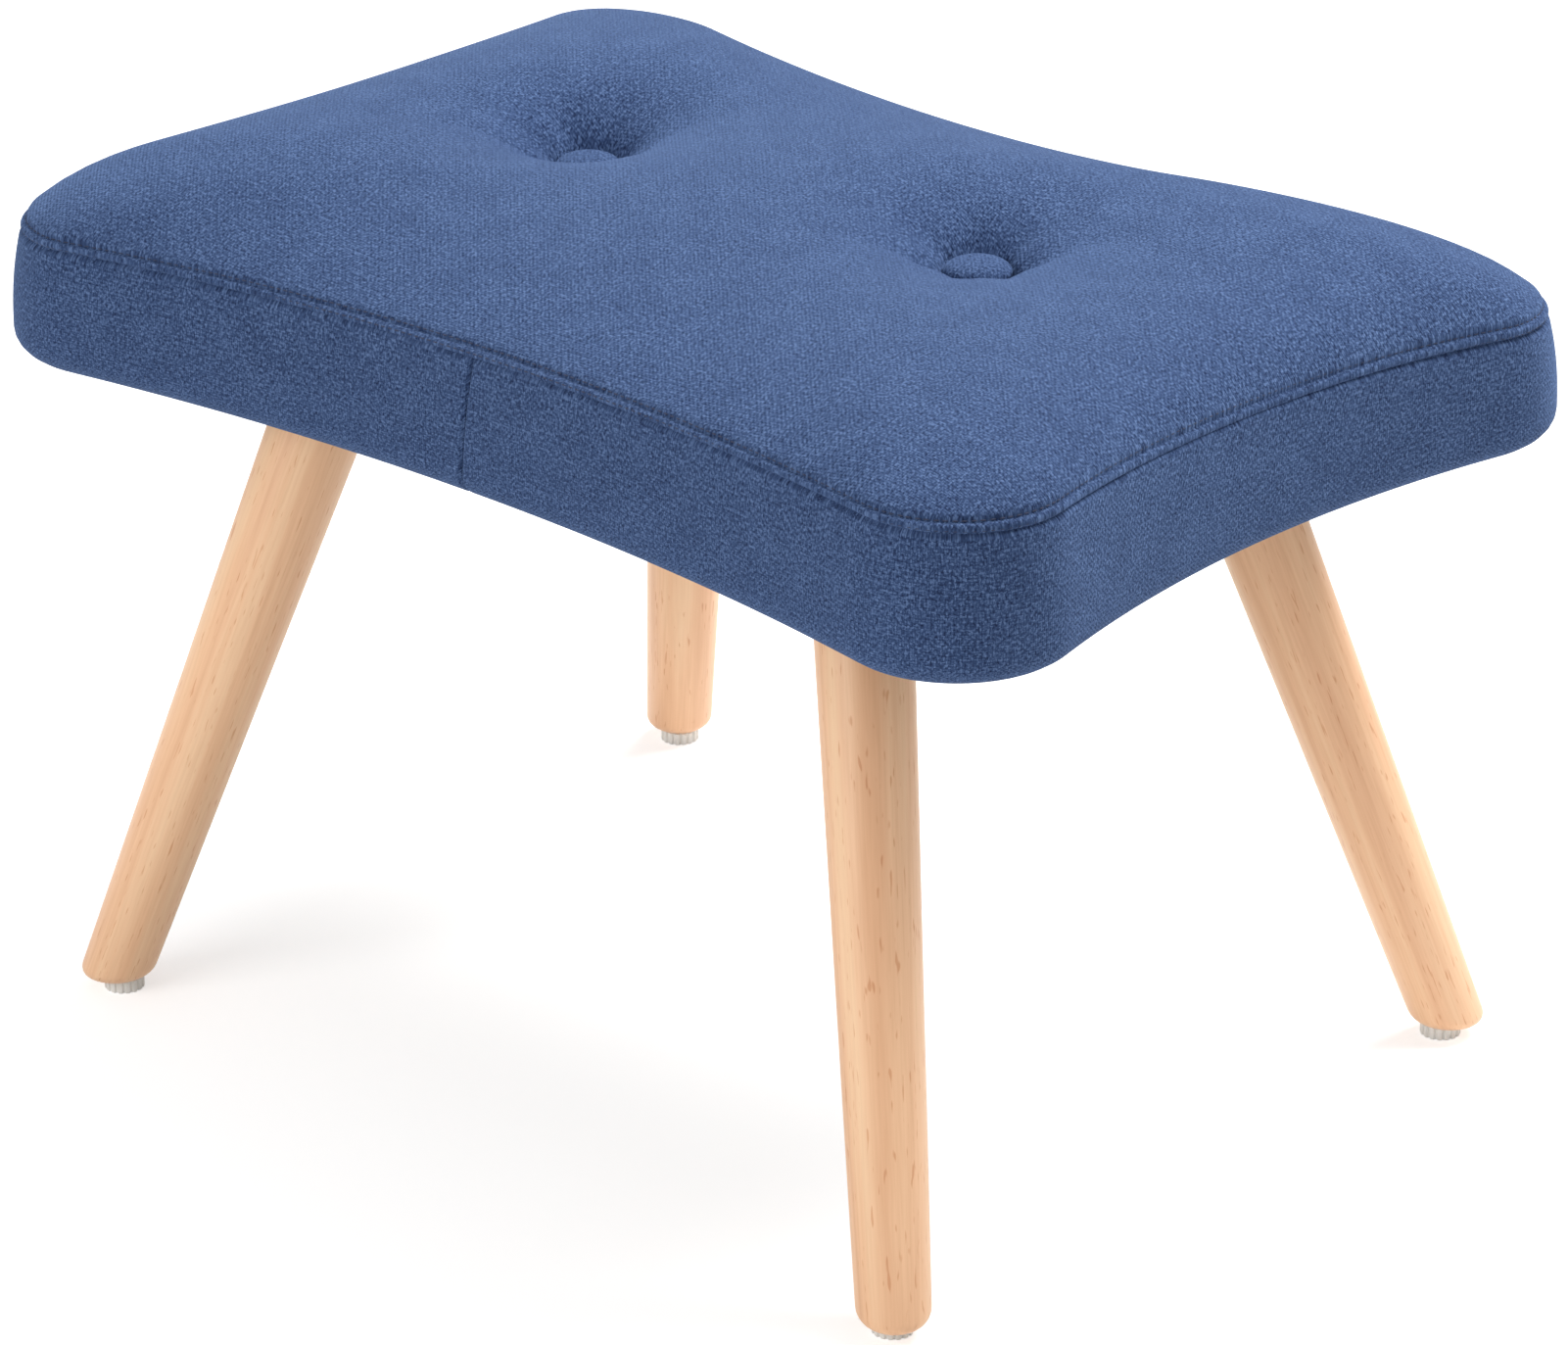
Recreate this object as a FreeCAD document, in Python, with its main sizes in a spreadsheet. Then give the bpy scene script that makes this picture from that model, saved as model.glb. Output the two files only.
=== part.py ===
import FreeCAD, Part
import math
import os
import Sketcher

# Upholstered footstool: a waisted, button-tufted seat on four splayed wooden legs.
# Millimetres, +Z up, origin on the floor under the middle of the seat.
# Left is -X, right is +X, front is -Y and back is +Y.

Vector = FreeCAD.Vector
Placement = FreeCAD.Placement
Rotation = FreeCAD.Rotation
document = FreeCAD.newDocument("footstool")

# Driving dimensions
SIZES = {
    "seat_length": 562.0,
    "seat_width": 392.0,
    "corner_radius": 50.0,
    "waist_long_side": 21.0,
    "waist_short_side": 17.0,
    "band_bottom": 291.0,
    "seam_height": 345.0,
    "seat_top": 398.0,
    "crown_flat_share": 0.9,
    "border_roll": 8.0,
    "border_roll_depth": 3.2,
    "seam_draw_in": 4.5,
    "cloth": 1.2,
    "pad_margin": 6.0,
    "hem_width": 24.0,
    "band_joint_offset": 5.0,
    "board_thickness": 15.0,
    "lining": 0.5,
    "lining_margin": 14.0,
    "tuft_spacing": 220.0,
    "tuft_floor": 364.0,
    "tuft_bend": 32.0,
    "tuft_bend_steps": 3.0,
    "tuft_rim_slope": 6.0,
    "button_radius": 14.0,
    "button_edge": 2.5,
    "button_crown_radius": 8.0,
    "button_height": 6.5,
    "twine_radius": 0.8,
    "toggle_length": 20.0,
    "toggle_width": 5.0,
    "toggle_thickness": 1.5,
    "toggle_recess": 3.0,
    "leg_tilt": 20.54,
    "leg_heading": 40.74,
    "leg_foot_x": 229.3,
    "leg_foot_y": 178.3,
    "leg_low_radius": 14.9,
    "leg_top_radius": 20.3,
    "leg_top_edge": 1.0,
    "leg_end_height": 6.0,
    "leg_end_round": 6.0,
    "bolt_radius": 4.0,
    "bolt_depth": 38.0,
    "bolt_length": 46.0,
    "plate_half": 30.0,
    "plate_corner": 6.0,
    "plate_thickness": 2.5,
    "boss_radius": 23.0,
    "boss_lip": 0.8,
    "screw_reach": 23.0,
    "screw_hole_radius": 2.2,
    "screw_radius": 1.7,
    "screw_head_radius": 4.0,
    "screw_head_height": 1.6,
    "screw_length": 14.0,
    "glide_inset": 5.95,
    "glide_radius": 8.7,
    "glide_thickness": 5.8,
    "rib_count": 16.0,
    "rib_gap_half_width": 0.6,
    "rib_gap_depth": 0.8,
    "stud_radius": 2.95,
    "stud_foot": 1.8,
    "stud_length": 24.0,
    "stud_bore_radius": 3.0,
    "stud_bore_depth": 26.0,
    "staple_half_crown": 5.0,
    "staple_leg": 6.0,
    "staple_wire": 0.6,
    "staple_pitch": 56.0,
}

sheet = document.addObject("Spreadsheet::Sheet", "Sizes")
for row, (alias, number) in enumerate(SIZES.items(), start=1):
    sheet.set("A%d" % row, alias)
    sheet.set("B%d" % row, str(number))
    sheet.setAlias("B%d" % row, alias)
document.recompute()
size = {alias: float(sheet.get(alias)) for alias in SIZES}

nodes = []


# A measure is a sum of aliases and numbers, such as "glide_thickness + 2.0"
def measure(formula):
    total = 0.0
    sign = 1.0
    for word in formula.split():
        if word in "+-":
            sign = -1.0 if word == "-" else 1.0
        else:
            total += sign * (size[word] if word in size else float(word))
    return total


def bound(formula):
    return " ".join("Sizes." + word if word in size else word for word in formula.split())


def at_height(height):
    return Placement(Vector(0, 0, height), Rotation())


def new_body(name, placement):
    body = document.addObject("PartDesign::Body", name)
    body.Label = name
    body.Placement = placement
    nodes.append(body)
    return body


def new_shape(name, shape):
    feature = document.addObject("Part::Feature", name)
    feature.Label = name
    feature.Shape = shape
    nodes.append(feature)
    return feature


def new_sketch(body, name, role="XY_Plane", offset=None):
    sketch = body.newObject("Sketcher::SketchObject", name)
    plane = [item for item in body.Origin.OriginFeatures if item.Role == role][0]
    sketch.AttachmentSupport = [(plane, "")]
    sketch.MapMode = "FlatFace"
    if offset is not None:
        sketch.AttachmentOffset = offset
    return sketch


# Ties one coordinate of a sketch point to a measure
def tie(sketch, kind, geometry, point, formula):
    value = measure(formula)
    if abs(value) < 1e-9:
        axis = -2 if kind == "DistanceX" else -1
        sketch.addConstraint(Sketcher.Constraint("PointOnObject", geometry, point, axis))
    elif value > 0:
        index = sketch.addConstraint(Sketcher.Constraint(kind, -1, 1, geometry, point, value))
        sketch.setExpression("Constraints[%d]" % index, bound(formula))
    else:
        index = sketch.addConstraint(Sketcher.Constraint(kind, geometry, point, -1, 1, -value))
        sketch.setExpression("Constraints[%d]" % index, "-(" + bound(formula) + ")")


def add_polygon(sketch, corners):
    places = [Vector(measure(x), measure(y), 0) for x, y in corners]
    first = len(sketch.Geometry)
    for index, place in enumerate(places):
        sketch.addGeometry(Part.LineSegment(place, places[(index + 1) % len(places)]))
    for index, (x, y) in enumerate(corners):
        before = first + (index - 1) % len(places)
        sketch.addConstraint(Sketcher.Constraint("Coincident", before, 2, first + index, 1))
        tie(sketch, "DistanceX", first + index, 1, x)
        tie(sketch, "DistanceY", first + index, 1, y)


def add_circle(sketch, radius, x="0", y="0"):
    centre = Vector(measure(x), measure(y), 0)
    circle = sketch.addGeometry(Part.Circle(centre, Vector(0, 0, 1), measure(radius)))
    index = sketch.addConstraint(Sketcher.Constraint("Radius", circle, measure(radius)))
    sketch.setExpression("Constraints[%d]" % index, bound(radius))
    tie(sketch, "DistanceX", circle, 3, x)
    tie(sketch, "DistanceY", circle, 3, y)


def add_pad(body, name, sketch, length, downward=False):
    pad = body.newObject("PartDesign::Pad", name)
    pad.Profile = sketch
    pad.Reversed = downward
    pad.setExpression("Length", bound(length))
    return pad


# Cuts below the sketch, or above it where upward is set, and checks that it cut something
def add_pocket(body, name, sketch, length, upward=False):
    document.recompute()
    volume = body.Shape.Volume
    pocket = body.newObject("PartDesign::Pocket", name)
    pocket.Profile = sketch
    pocket.Reversed = upward
    pocket.setExpression("Length", bound(length))
    document.recompute()
    if body.Shape.Volume > volume - 0.01:
        raise ValueError(name + " cuts nothing")
    return pocket


def add_revolution(body, name, corners):
    sketch = new_sketch(body, name + "_profile", "XZ_Plane")
    add_polygon(sketch, corners)
    revolution = body.newObject("PartDesign::Revolution", name)
    revolution.Profile = sketch
    revolution.ReferenceAxis = (sketch, ["V_Axis"])
    revolution.Angle = 360.0
    document.recompute()


# The seat's outline is eight arcs, each tangent to the next: four hollow sides, four corners.
# Every outline of the seat, board and lining is this one, set in by some distance.
class Outline:
    def __init__(self, length, width, corner, waist_long, waist_short):
        self.corner = corner
        self.corner_x = length / 2 - corner
        self.corner_y = width / 2 - corner
        self.middle_x = length / 2 - waist_short
        self.middle_y = width / 2 - waist_long
        self.long_radius = self.hollow_radius(self.corner_x, waist_long)
        self.short_radius = self.hollow_radius(self.corner_y, waist_short)

    # Radius of the hollow side that passes the waist and touches both corner arcs
    def hollow_radius(self, corner_place, waist):
        return (corner_place ** 2 - 2 * self.corner * waist + waist ** 2) / (2 * waist)

    def arcs(self, height):
        centre_y = self.middle_y + self.long_radius
        centre_x = self.middle_x + self.short_radius
        corner = Vector(self.corner_x, self.corner_y, height)
        to_long = Vector(0, centre_y, height) - corner
        to_short = Vector(centre_x, 0, height) - corner
        long_touch = corner + to_long.normalize() * self.corner
        short_touch = corner + to_short.normalize() * self.corner
        corner_middle = corner + (to_long + to_short).normalize() * self.corner
        long_middle = Vector(0, self.middle_y, height)
        short_middle = Vector(self.middle_x, 0, height)

        def mirrored(point, along_x, along_y):
            return Vector(point.x * along_x, point.y * along_y, height)

        spans = []
        for along_x, along_y in ((1, -1), (1, 1), (-1, 1), (-1, -1)):
            touches = [mirrored(long_touch, along_x, along_y), mirrored(short_touch, along_x, along_y)]
            middle = mirrored(corner_middle, along_x, along_y)
            if along_x * along_y > 0:
                touches.reverse()
            spans.append((touches[0], middle, touches[1]))
        sides = (
            mirrored(short_middle, 1, 1),
            mirrored(long_middle, 1, 1),
            mirrored(short_middle, -1, 1),
            mirrored(long_middle, 1, -1),
        )
        arcs = []
        for index, (start, middle, end) in enumerate(spans):
            arcs.append(Part.Arc(start, middle, end))
            arcs.append(Part.Arc(end, sides[index], spans[(index + 1) % 4][0]))
        return arcs

    def wire(self, height):
        return Part.Wire([arc.toShape() for arc in self.arcs(height)])


def seat_outline(inset=0.0):
    return Outline(
        size["seat_length"] - 2 * inset,
        size["seat_width"] - 2 * inset,
        size["corner_radius"] - inset,
        size["waist_long_side"],
        size["waist_short_side"],
    )


def add_outline(sketch, inset):
    for arc in seat_outline(measure(inset)).arcs(0):
        sketch.addGeometry(arc)


def slab(inset, low, high):
    face = Part.Face(seat_outline(inset).wire(low))
    return face.extrude(Vector(0, 0, high - low))


tuft_x = size["tuft_spacing"] / 2
tuft_sides = {"left": -1, "right": 1}
board_low = measure("band_bottom + cloth")
board_high = board_low + size["board_thickness"]
lining_low = board_low - size["lining"]

# Seat board: plywood with the seat's outline, drilled for the two tuft twines
board = new_body("seat_board", at_height(board_low))
board_sketch = new_sketch(board, "board_outline")
add_outline(board_sketch, "pad_margin")
add_pad(board, "board_sheet", board_sketch, "board_thickness")
twine_sketch = new_sketch(board, "twine_holes")
for side in tuft_sides.values():
    twine_sketch.addGeometry(Part.Circle(Vector(side * tuft_x, 0, 0), Vector(0, 0, 1), size["twine_radius"]))
add_pocket(board, "twine_drilling", twine_sketch, "board_thickness", upward=True)
for name, side in tuft_sides.items():
    recess_sketch = new_sketch(board, "toggle_recess_" + name)
    half_long = (size["toggle_length"] + 1) / 2
    half_wide = (size["toggle_width"] + 1) / 2
    recess = [
        Vector(side * tuft_x + along * half_long, across * half_wide, 0)
        for along, across in ((-1, -1), (1, -1), (1, 1), (-1, 1))
    ]
    for index, start in enumerate(recess):
        recess_sketch.addGeometry(Part.LineSegment(start, recess[(index + 1) % 4]))
    add_pocket(board, "toggle_seat_" + name, recess_sketch, "toggle_recess", upward=True)

# Foam pad: block cut to the board's outline, glued on it and pierced by the twines
pad_body = new_body("foam_pad", at_height(board_high))
pad_sketch = new_sketch(pad_body, "foam_outline")
add_outline(pad_sketch, "pad_margin")
add_pad(pad_body, "foam_block", pad_sketch, "seam_height - band_bottom - cloth - board_thickness")
pierce_sketch = new_sketch(pad_body, "foam_twine_holes")
for side in tuft_sides.values():
    pierce_sketch.addGeometry(Part.Circle(Vector(side * tuft_x, 0, 0), Vector(0, 0, 1), size["twine_radius"]))
add_pocket(pad_body, "foam_piercing", pierce_sketch, "seam_height", upward=True)


# The crown is fuller along the seat than across it: at each share of its height the rings
# shrink by one law along the length and by another across the width
def crown_solid(shares):
    length = measure("seat_length - seam_draw_in - seam_draw_in")
    width = measure("seat_width - seam_draw_in - seam_draw_in")
    corner = measure("corner_radius - seam_draw_in")
    rise = measure("seat_top - seam_height")
    widest_corner = 0.36
    wires = [seat_outline(size["seam_draw_in"]).wire(size["seam_height"])]
    for height_share in shares:
        share = height_share * size["crown_flat_share"]
        along = (1 - share ** 2) ** 0.25
        across = (1 - share) ** 0.5
        ring = Outline(
            length * along,
            width * across,
            min(corner * (1 + share), widest_corner * width * across),
            size["waist_long_side"] * (1 - share) * across,
            size["waist_short_side"] * (1 - share) * across,
        )
        wires.append(ring.wire(size["seam_height"] + rise * height_share))
    return Part.makeLoft(wires, True, True)


# A tuft is a funnel: it rises steeply beside the button, bends over in steps and then runs
# out as a shallow cone
def tuft_funnel():
    floor = size["tuft_floor"]
    steps = int(size["tuft_bend_steps"])
    button_gap = 0.5
    turn = math.radians(90 - size["tuft_rim_slope"])
    bend = size["tuft_bend"]
    centre_out = size["button_radius"] + button_gap + bend
    profile = []
    for step in range(steps + 1):
        angle = turn * step / steps
        profile.append(Vector(centre_out - bend * math.cos(angle), 0, floor + bend * math.sin(angle)))
    rim = profile[-1] + Vector(math.sin(turn), 0, math.cos(turn)) * bend
    profile += [rim, Vector(0, 0, rim.z), Vector(0, 0, floor), profile[0]]
    return Part.Face(Part.makePolygon(profile)).revolve(Vector(0, 0, 0), Vector(0, 0, 1), 360)


# Top panel of the cover: cloth on its crowned wadding, pulled down into the two tufts
panel = crown_solid((0.35, 0.7, 1.0))
for side in tuft_sides.values():
    funnel = tuft_funnel()
    funnel.translate(Vector(side * tuft_x, 0, 0))
    panel = panel.cut(funnel)
    twine_start = Vector(side * tuft_x, 0, size["seam_height"])
    panel = panel.cut(Part.makeCylinder(size["twine_radius"], size["tuft_bend"], twine_start))
new_shape("cover_top_panel", panel)

# Border bands: two padded lengths of cloth, joined near the middle of each long side. They
# roll in under the board as a hem and are drawn in at the seam.
rings = (
    (size["band_bottom"], size["border_roll_depth"]),
    (size["band_bottom"] + size["border_roll"], 0.0),
    (size["seam_height"], size["seam_draw_in"]),
)
band = Part.makeLoft([seat_outline(inset).wire(height) for height, inset in rings], True, True)
band = band.cut(slab(size["pad_margin"], board_low, size["seam_height"]))
band = band.cut(slab(size["hem_width"], size["band_bottom"] - 1, board_low + 1))
reach = size["seat_length"]
for name, side in tuft_sides.items():
    low_x = -size["band_joint_offset"] - (reach if side < 0 else 0)
    half = Part.makeBox(reach, reach, reach, Vector(low_x, -reach / 2, 0))
    new_shape("border_band_" + name, band.common(half))

# Dust cover: thin lining, flat on the board and stepped down over the hem
lining = new_body("dust_cover", at_height(measure("band_bottom - lining")))
lining_sketch = new_sketch(lining, "lining_outline")
add_outline(lining_sketch, "lining_margin")
add_pad(lining, "lining_blank", lining_sketch, "cloth + lining")
inner_sketch = new_sketch(lining, "lining_inner_face")
add_outline(inner_sketch, "hem_width + 1.0")
add_pocket(lining, "lining_hollow", inner_sketch, "cloth", upward=True)
step_sketch = new_sketch(lining, "lining_step", "XY_Plane", at_height(measure("cloth + lining")))
add_outline(step_sketch, "lining_margin - 1.0")
add_outline(step_sketch, "hem_width + 0.5")
add_pocket(lining, "lining_lip", step_sketch, "cloth")


# Staples: wire bridges spaced along an outline, legs driven up into the board
def staple_ring(inset, crown_low, leg_high):
    wire_size = size["staple_wire"]
    half_crown = size["staple_half_crown"]
    leg_long = leg_high - crown_low
    path = seat_outline(inset).wire(crown_low)
    count = path.Length / size["staple_pitch"]
    profile = [
        Vector(-half_crown, -wire_size / 2, 0),
        Vector(half_crown, -wire_size / 2, 0),
        Vector(half_crown, -wire_size / 2, leg_long),
        Vector(half_crown - wire_size, -wire_size / 2, leg_long),
        Vector(half_crown - wire_size, -wire_size / 2, wire_size),
        Vector(wire_size - half_crown, -wire_size / 2, wire_size),
        Vector(wire_size - half_crown, -wire_size / 2, leg_long),
        Vector(-half_crown, -wire_size / 2, leg_long),
    ]
    face = Part.Face(Part.makePolygon(profile + profile[:1]))
    staples = []
    for edge in path.Edges:
        share = max(1, round(count * edge.Length / path.Length))
        for number in range(share):
            along = (number + 0.5) / share
            place = edge.FirstParameter + along * (edge.LastParameter - edge.FirstParameter)
            staple = face.extrude(Vector(0, wire_size, 0))
            turn = Rotation(Vector(1, 0, 0), edge.tangentAt(place))
            staple.Placement = Placement(edge.valueAt(place), turn)
            staples.append(staple)
    return Part.makeCompound(staples)


staple_high = board_low + size["staple_leg"]
hem_face = size["band_bottom"] + 0.1
lining_face = measure("band_bottom - lining - staple_wire")
new_shape("hem_staples", staple_ring(size["hem_width"] - 5.0, hem_face, staple_high))
new_shape("dust_cover_staples", staple_ring(size["lining_margin"] + 2.5, lining_face, staple_high))

# Tuft buttons: covered dome, the twine that holds it down and the toggle it is tied to
toggle_low = board_low + measure("toggle_recess - toggle_thickness")
toggle_high = board_low + size["toggle_recess"]
for name, side in tuft_sides.items():
    button_place = Placement(Vector(side * tuft_x, 0, size["tuft_floor"]), Rotation())
    button = new_body("tuft_button_" + name, button_place)
    add_revolution(button, "button_dome_" + name, [
        ("0", "0"),
        ("button_radius", "0"),
        ("button_radius", "button_edge"),
        ("button_crown_radius", "button_height"),
        ("0", "button_height"),
    ])
    twine = document.addObject("Part::Cylinder", "tuft_twine_" + name)
    twine.Label = "tuft_twine_" + name
    twine.setExpression("Radius", bound("twine_radius"))
    twine.setExpression("Height", bound("tuft_floor - band_bottom - cloth - toggle_recess"))
    twine.Placement = Placement(Vector(side * tuft_x, 0, toggle_high), Rotation())
    nodes.append(twine)
    toggle = document.addObject("Part::Box", "twine_toggle_" + name)
    toggle.Label = "twine_toggle_" + name
    toggle.setExpression("Length", bound("toggle_length"))
    toggle.setExpression("Width", bound("toggle_width"))
    toggle.setExpression("Height", bound("toggle_thickness"))
    toggle_corner = Vector(side * tuft_x - size["toggle_length"] / 2, -size["toggle_width"] / 2, toggle_low)
    toggle.Placement = Placement(toggle_corner, Rotation())
    nodes.append(toggle)

# Each leg leans out in the vertical plane that its heading names
CORNERS = {
    "front_left": (-1, -1),
    "front_right": (1, -1),
    "back_right": (1, 1),
    "back_left": (-1, 1),
}
tilt = math.radians(size["leg_tilt"])
plate_low = lining_low - size["plate_thickness"]
leg_top_height = plate_low - size["boss_lip"] - size["boss_radius"] * math.tan(tilt)
leg_length = leg_top_height / math.cos(tilt)


# A frame on the leg's vertical plane, over its foot: x points out along the splay, z is up
def splay_frame(corner, out, height):
    along_x, along_y = CORNERS[corner]
    turn = math.radians(size["leg_heading"])
    heading = math.degrees(math.atan2(along_y * math.sin(turn), along_x * math.cos(turn)))
    rotation = Rotation(Vector(0, 0, 1), heading)
    foot = Vector(along_x * size["leg_foot_x"], along_y * size["leg_foot_y"], 0)
    return Placement(foot + rotation.multVec(Vector(out, 0, height)), rotation)


def plate_frame(corner):
    return splay_frame(corner, -leg_top_height * math.tan(tilt), plate_low)


# The leg's own z runs up its axis from the floor; x leans out
def leg_frame(corner):
    lean = Placement(Vector(0, 0, 0), Rotation(Vector(0, 1, 0), -size["leg_tilt"]))
    return splay_frame(corner, 0, 0).multiply(lean)


# Leg plate: die-cast square plate whose boss ends square to the splayed leg
def build_plate(corner):
    plate = new_body("leg_plate_" + corner, plate_frame(corner))
    square_sketch = new_sketch(plate, "plate_square_" + corner)
    near = "plate_half - plate_corner"
    add_polygon(square_sketch, [
        (near, "0 - plate_half"),
        ("plate_half", "plate_corner - plate_half"),
        ("plate_half", near),
        (near, "plate_half"),
        ("plate_corner - plate_half", "plate_half"),
        ("0 - plate_half", near),
        ("0 - plate_half", "plate_corner - plate_half"),
        ("plate_corner - plate_half", "0 - plate_half"),
    ])
    add_pad(plate, "plate_sheet_" + corner, square_sketch, "plate_thickness")
    boss_sketch = new_sketch(plate, "boss_circle_" + corner)
    add_circle(boss_sketch, "boss_radius")
    add_pad(plate, "plate_boss_" + corner, boss_sketch, "boss_radius", downward=True)
    slope = Rotation(Vector(0, 1, 0), -size["leg_tilt"])
    slope_place = Placement(Vector(0, 0, leg_top_height - plate_low), slope)
    slope_sketch = new_sketch(plate, "boss_slope_" + corner, "XY_Plane", slope_place)
    add_circle(slope_sketch, "plate_half + plate_half")
    add_pocket(plate, "boss_cut_" + corner, slope_sketch, "plate_half")
    bore_sketch = new_sketch(plate, "bolt_bore_" + corner, "XY_Plane", slope_place)
    add_circle(bore_sketch, "bolt_radius")
    add_pocket(plate, "bolt_thread_" + corner, bore_sketch, "plate_half", upward=True)
    hole_sketch = new_sketch(plate, "screw_holes_" + corner)
    for x in ("screw_reach", "0 - screw_reach"):
        for y in ("screw_reach", "0 - screw_reach"):
            add_circle(hole_sketch, "screw_hole_radius", x, y)
    add_pocket(plate, "screw_drilling_" + corner, hole_sketch, "plate_thickness", upward=True)


# Plate screws: four hexagon-head wood screws a plate, driven through the lining into the board
def plate_screws():
    screws = []
    head_radius = size["screw_head_radius"]
    head_low = -size["screw_head_height"]
    turns = [math.radians(60 * step) for step in range(7)]
    rim = [Vector(head_radius * math.cos(turn), head_radius * math.sin(turn), head_low) for turn in turns]
    head = Part.Face(Part.makePolygon(rim)).extrude(Vector(0, 0, -head_low))
    screw = head.fuse(Part.makeCylinder(size["screw_radius"], size["screw_length"]))
    for corner in CORNERS:
        for along, across in ((-1, -1), (1, -1), (1, 1), (-1, 1)):
            place = Vector(along * size["screw_reach"], across * size["screw_reach"], 0)
            placed = screw.copy()
            placed.Placement = plate_frame(corner).multiply(Placement(place, Rotation()))
            screws.append(placed)
    return Part.makeCompound(screws)


# Leg: turned taper on a hanger bolt, cut level at the foot, rounded there and bored upright
# for its glide. The rounding is a loft of level ellipses that shrink along the leg's axis.
def leg_solid():
    low_radius = size["leg_low_radius"]
    top_radius = size["leg_top_radius"]
    bevel = size["leg_top_edge"]
    shaft_end = leg_length - bevel
    leg = Part.makeCone(low_radius, top_radius, shaft_end)
    leg = leg.fuse(Part.makeCone(top_radius, top_radius - bevel, bevel, Vector(0, 0, shaft_end)))
    bore_place = Vector(0, 0, leg_length - size["bolt_depth"])
    leg = leg.cut(Part.makeCylinder(size["bolt_radius"], size["bolt_depth"], bore_place))
    leg.rotate(Vector(0, 0, 0), Vector(0, 1, 0), -size["leg_tilt"])
    end_round = size["leg_end_round"]
    round_top = size["leg_end_height"] + end_round
    span = 4 * low_radius
    leg = leg.cut(Part.makeBox(span, span, span, Vector(-span / 2, -span / 2, round_top - span)))
    rim = [edge for edge in leg.Edges if edge.BoundBox.ZMax < round_top + 0.01][0].Curve
    wires = []
    for angle in (0, 45, 90):
        inset = end_round * (1 - math.cos(math.radians(angle)))
        drop = end_round * math.sin(math.radians(angle))
        centre = rim.Center + Vector(math.tan(tilt), 0, -1) * drop
        ring = Part.Ellipse(centre, rim.MajorRadius - inset, rim.MinorRadius - inset)
        wires.append(Part.Wire(ring.toShape()))
    leg = leg.fuse(Part.makeLoft(wires, True, True))
    stud_place = Vector(-size["glide_inset"], 0, 0)
    return leg.cut(Part.makeCylinder(size["stud_bore_radius"], size["stud_bore_depth"], stud_place))


# Hanger bolts: join each leg and its plate along the leg's axis
def hanger_bolts():
    bolts = []
    bolt_end_gap = 0.5
    for corner in CORNERS:
        bolt = Part.makeCylinder(size["bolt_radius"], size["bolt_length"])
        along = at_height(leg_length - size["bolt_depth"] + bolt_end_gap)
        bolt.Placement = leg_frame(corner).multiply(along)
        bolts.append(bolt)
    return Part.makeCompound(bolts)


# Levelling glide: ribbed pad moulded on a steel stud that screws up into the leg
def build_glide(corner):
    place = splay_frame(corner, -size["glide_inset"], 0)
    stud = new_body("glide_stud_" + corner, place)
    add_revolution(stud, "stud_rod_" + corner, [
        ("0", "stud_foot"),
        ("stud_radius", "stud_foot"),
        ("stud_radius", "stud_foot + stud_length"),
        ("0", "stud_foot + stud_length"),
    ])
    pad = new_body("glide_pad_" + corner, place)
    add_revolution(pad, "pad_disc_" + corner, [
        ("0", "0"),
        ("glide_radius", "0"),
        ("glide_radius", "glide_thickness"),
        ("stud_radius", "glide_thickness"),
        ("stud_radius", "stud_foot"),
        ("0", "stud_foot"),
    ])
    gap_sketch = new_sketch(pad, "rib_gap_" + corner)
    add_polygon(gap_sketch, [
        ("glide_radius - rib_gap_depth", "0 - rib_gap_half_width"),
        ("glide_radius + rib_gap_depth", "0 - rib_gap_half_width"),
        ("glide_radius + rib_gap_depth", "rib_gap_half_width"),
        ("glide_radius - rib_gap_depth", "rib_gap_half_width"),
    ])
    gap = add_pocket(pad, "rib_gap_cut_" + corner, gap_sketch, "glide_thickness", upward=True)
    ribs = pad.newObject("PartDesign::PolarPattern", "ribs_" + corner)
    ribs.Originals = [gap]
    ribs.Axis = (gap_sketch, ["N_Axis"])
    ribs.Angle = 360.0
    ribs.Occurrences = int(size["rib_count"])
    pad.Tip = ribs


for corner in CORNERS:
    build_plate(corner)
    leg = new_shape("leg_" + corner, leg_solid())
    leg.Placement = splay_frame(corner, 0, 0)
    build_glide(corner)
new_shape("plate_screws", plate_screws())
new_shape("hanger_bolts", hanger_bolts())

document.recompute()
failed = [item.Name for item in document.Objects if "Invalid" in item.State or "Error" in item.State]
if failed:
    raise ValueError("objects failed: " + ", ".join(failed))
for node in nodes:
    if node.Shape.isNull() or not node.Shape.isValid():
        raise ValueError(node.Label + " has no valid shape")
os.makedirs("parts", exist_ok=True)
for node in nodes:
    node.Shape.exportStep(os.path.join("parts", node.Label + ".step"))
    print(node.Label, len(node.Shape.Solids), round(node.Shape.Volume, 1))
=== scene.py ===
import math

import bmesh
import bpy
import numpy as np
from mathutils import Matrix, Vector


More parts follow.
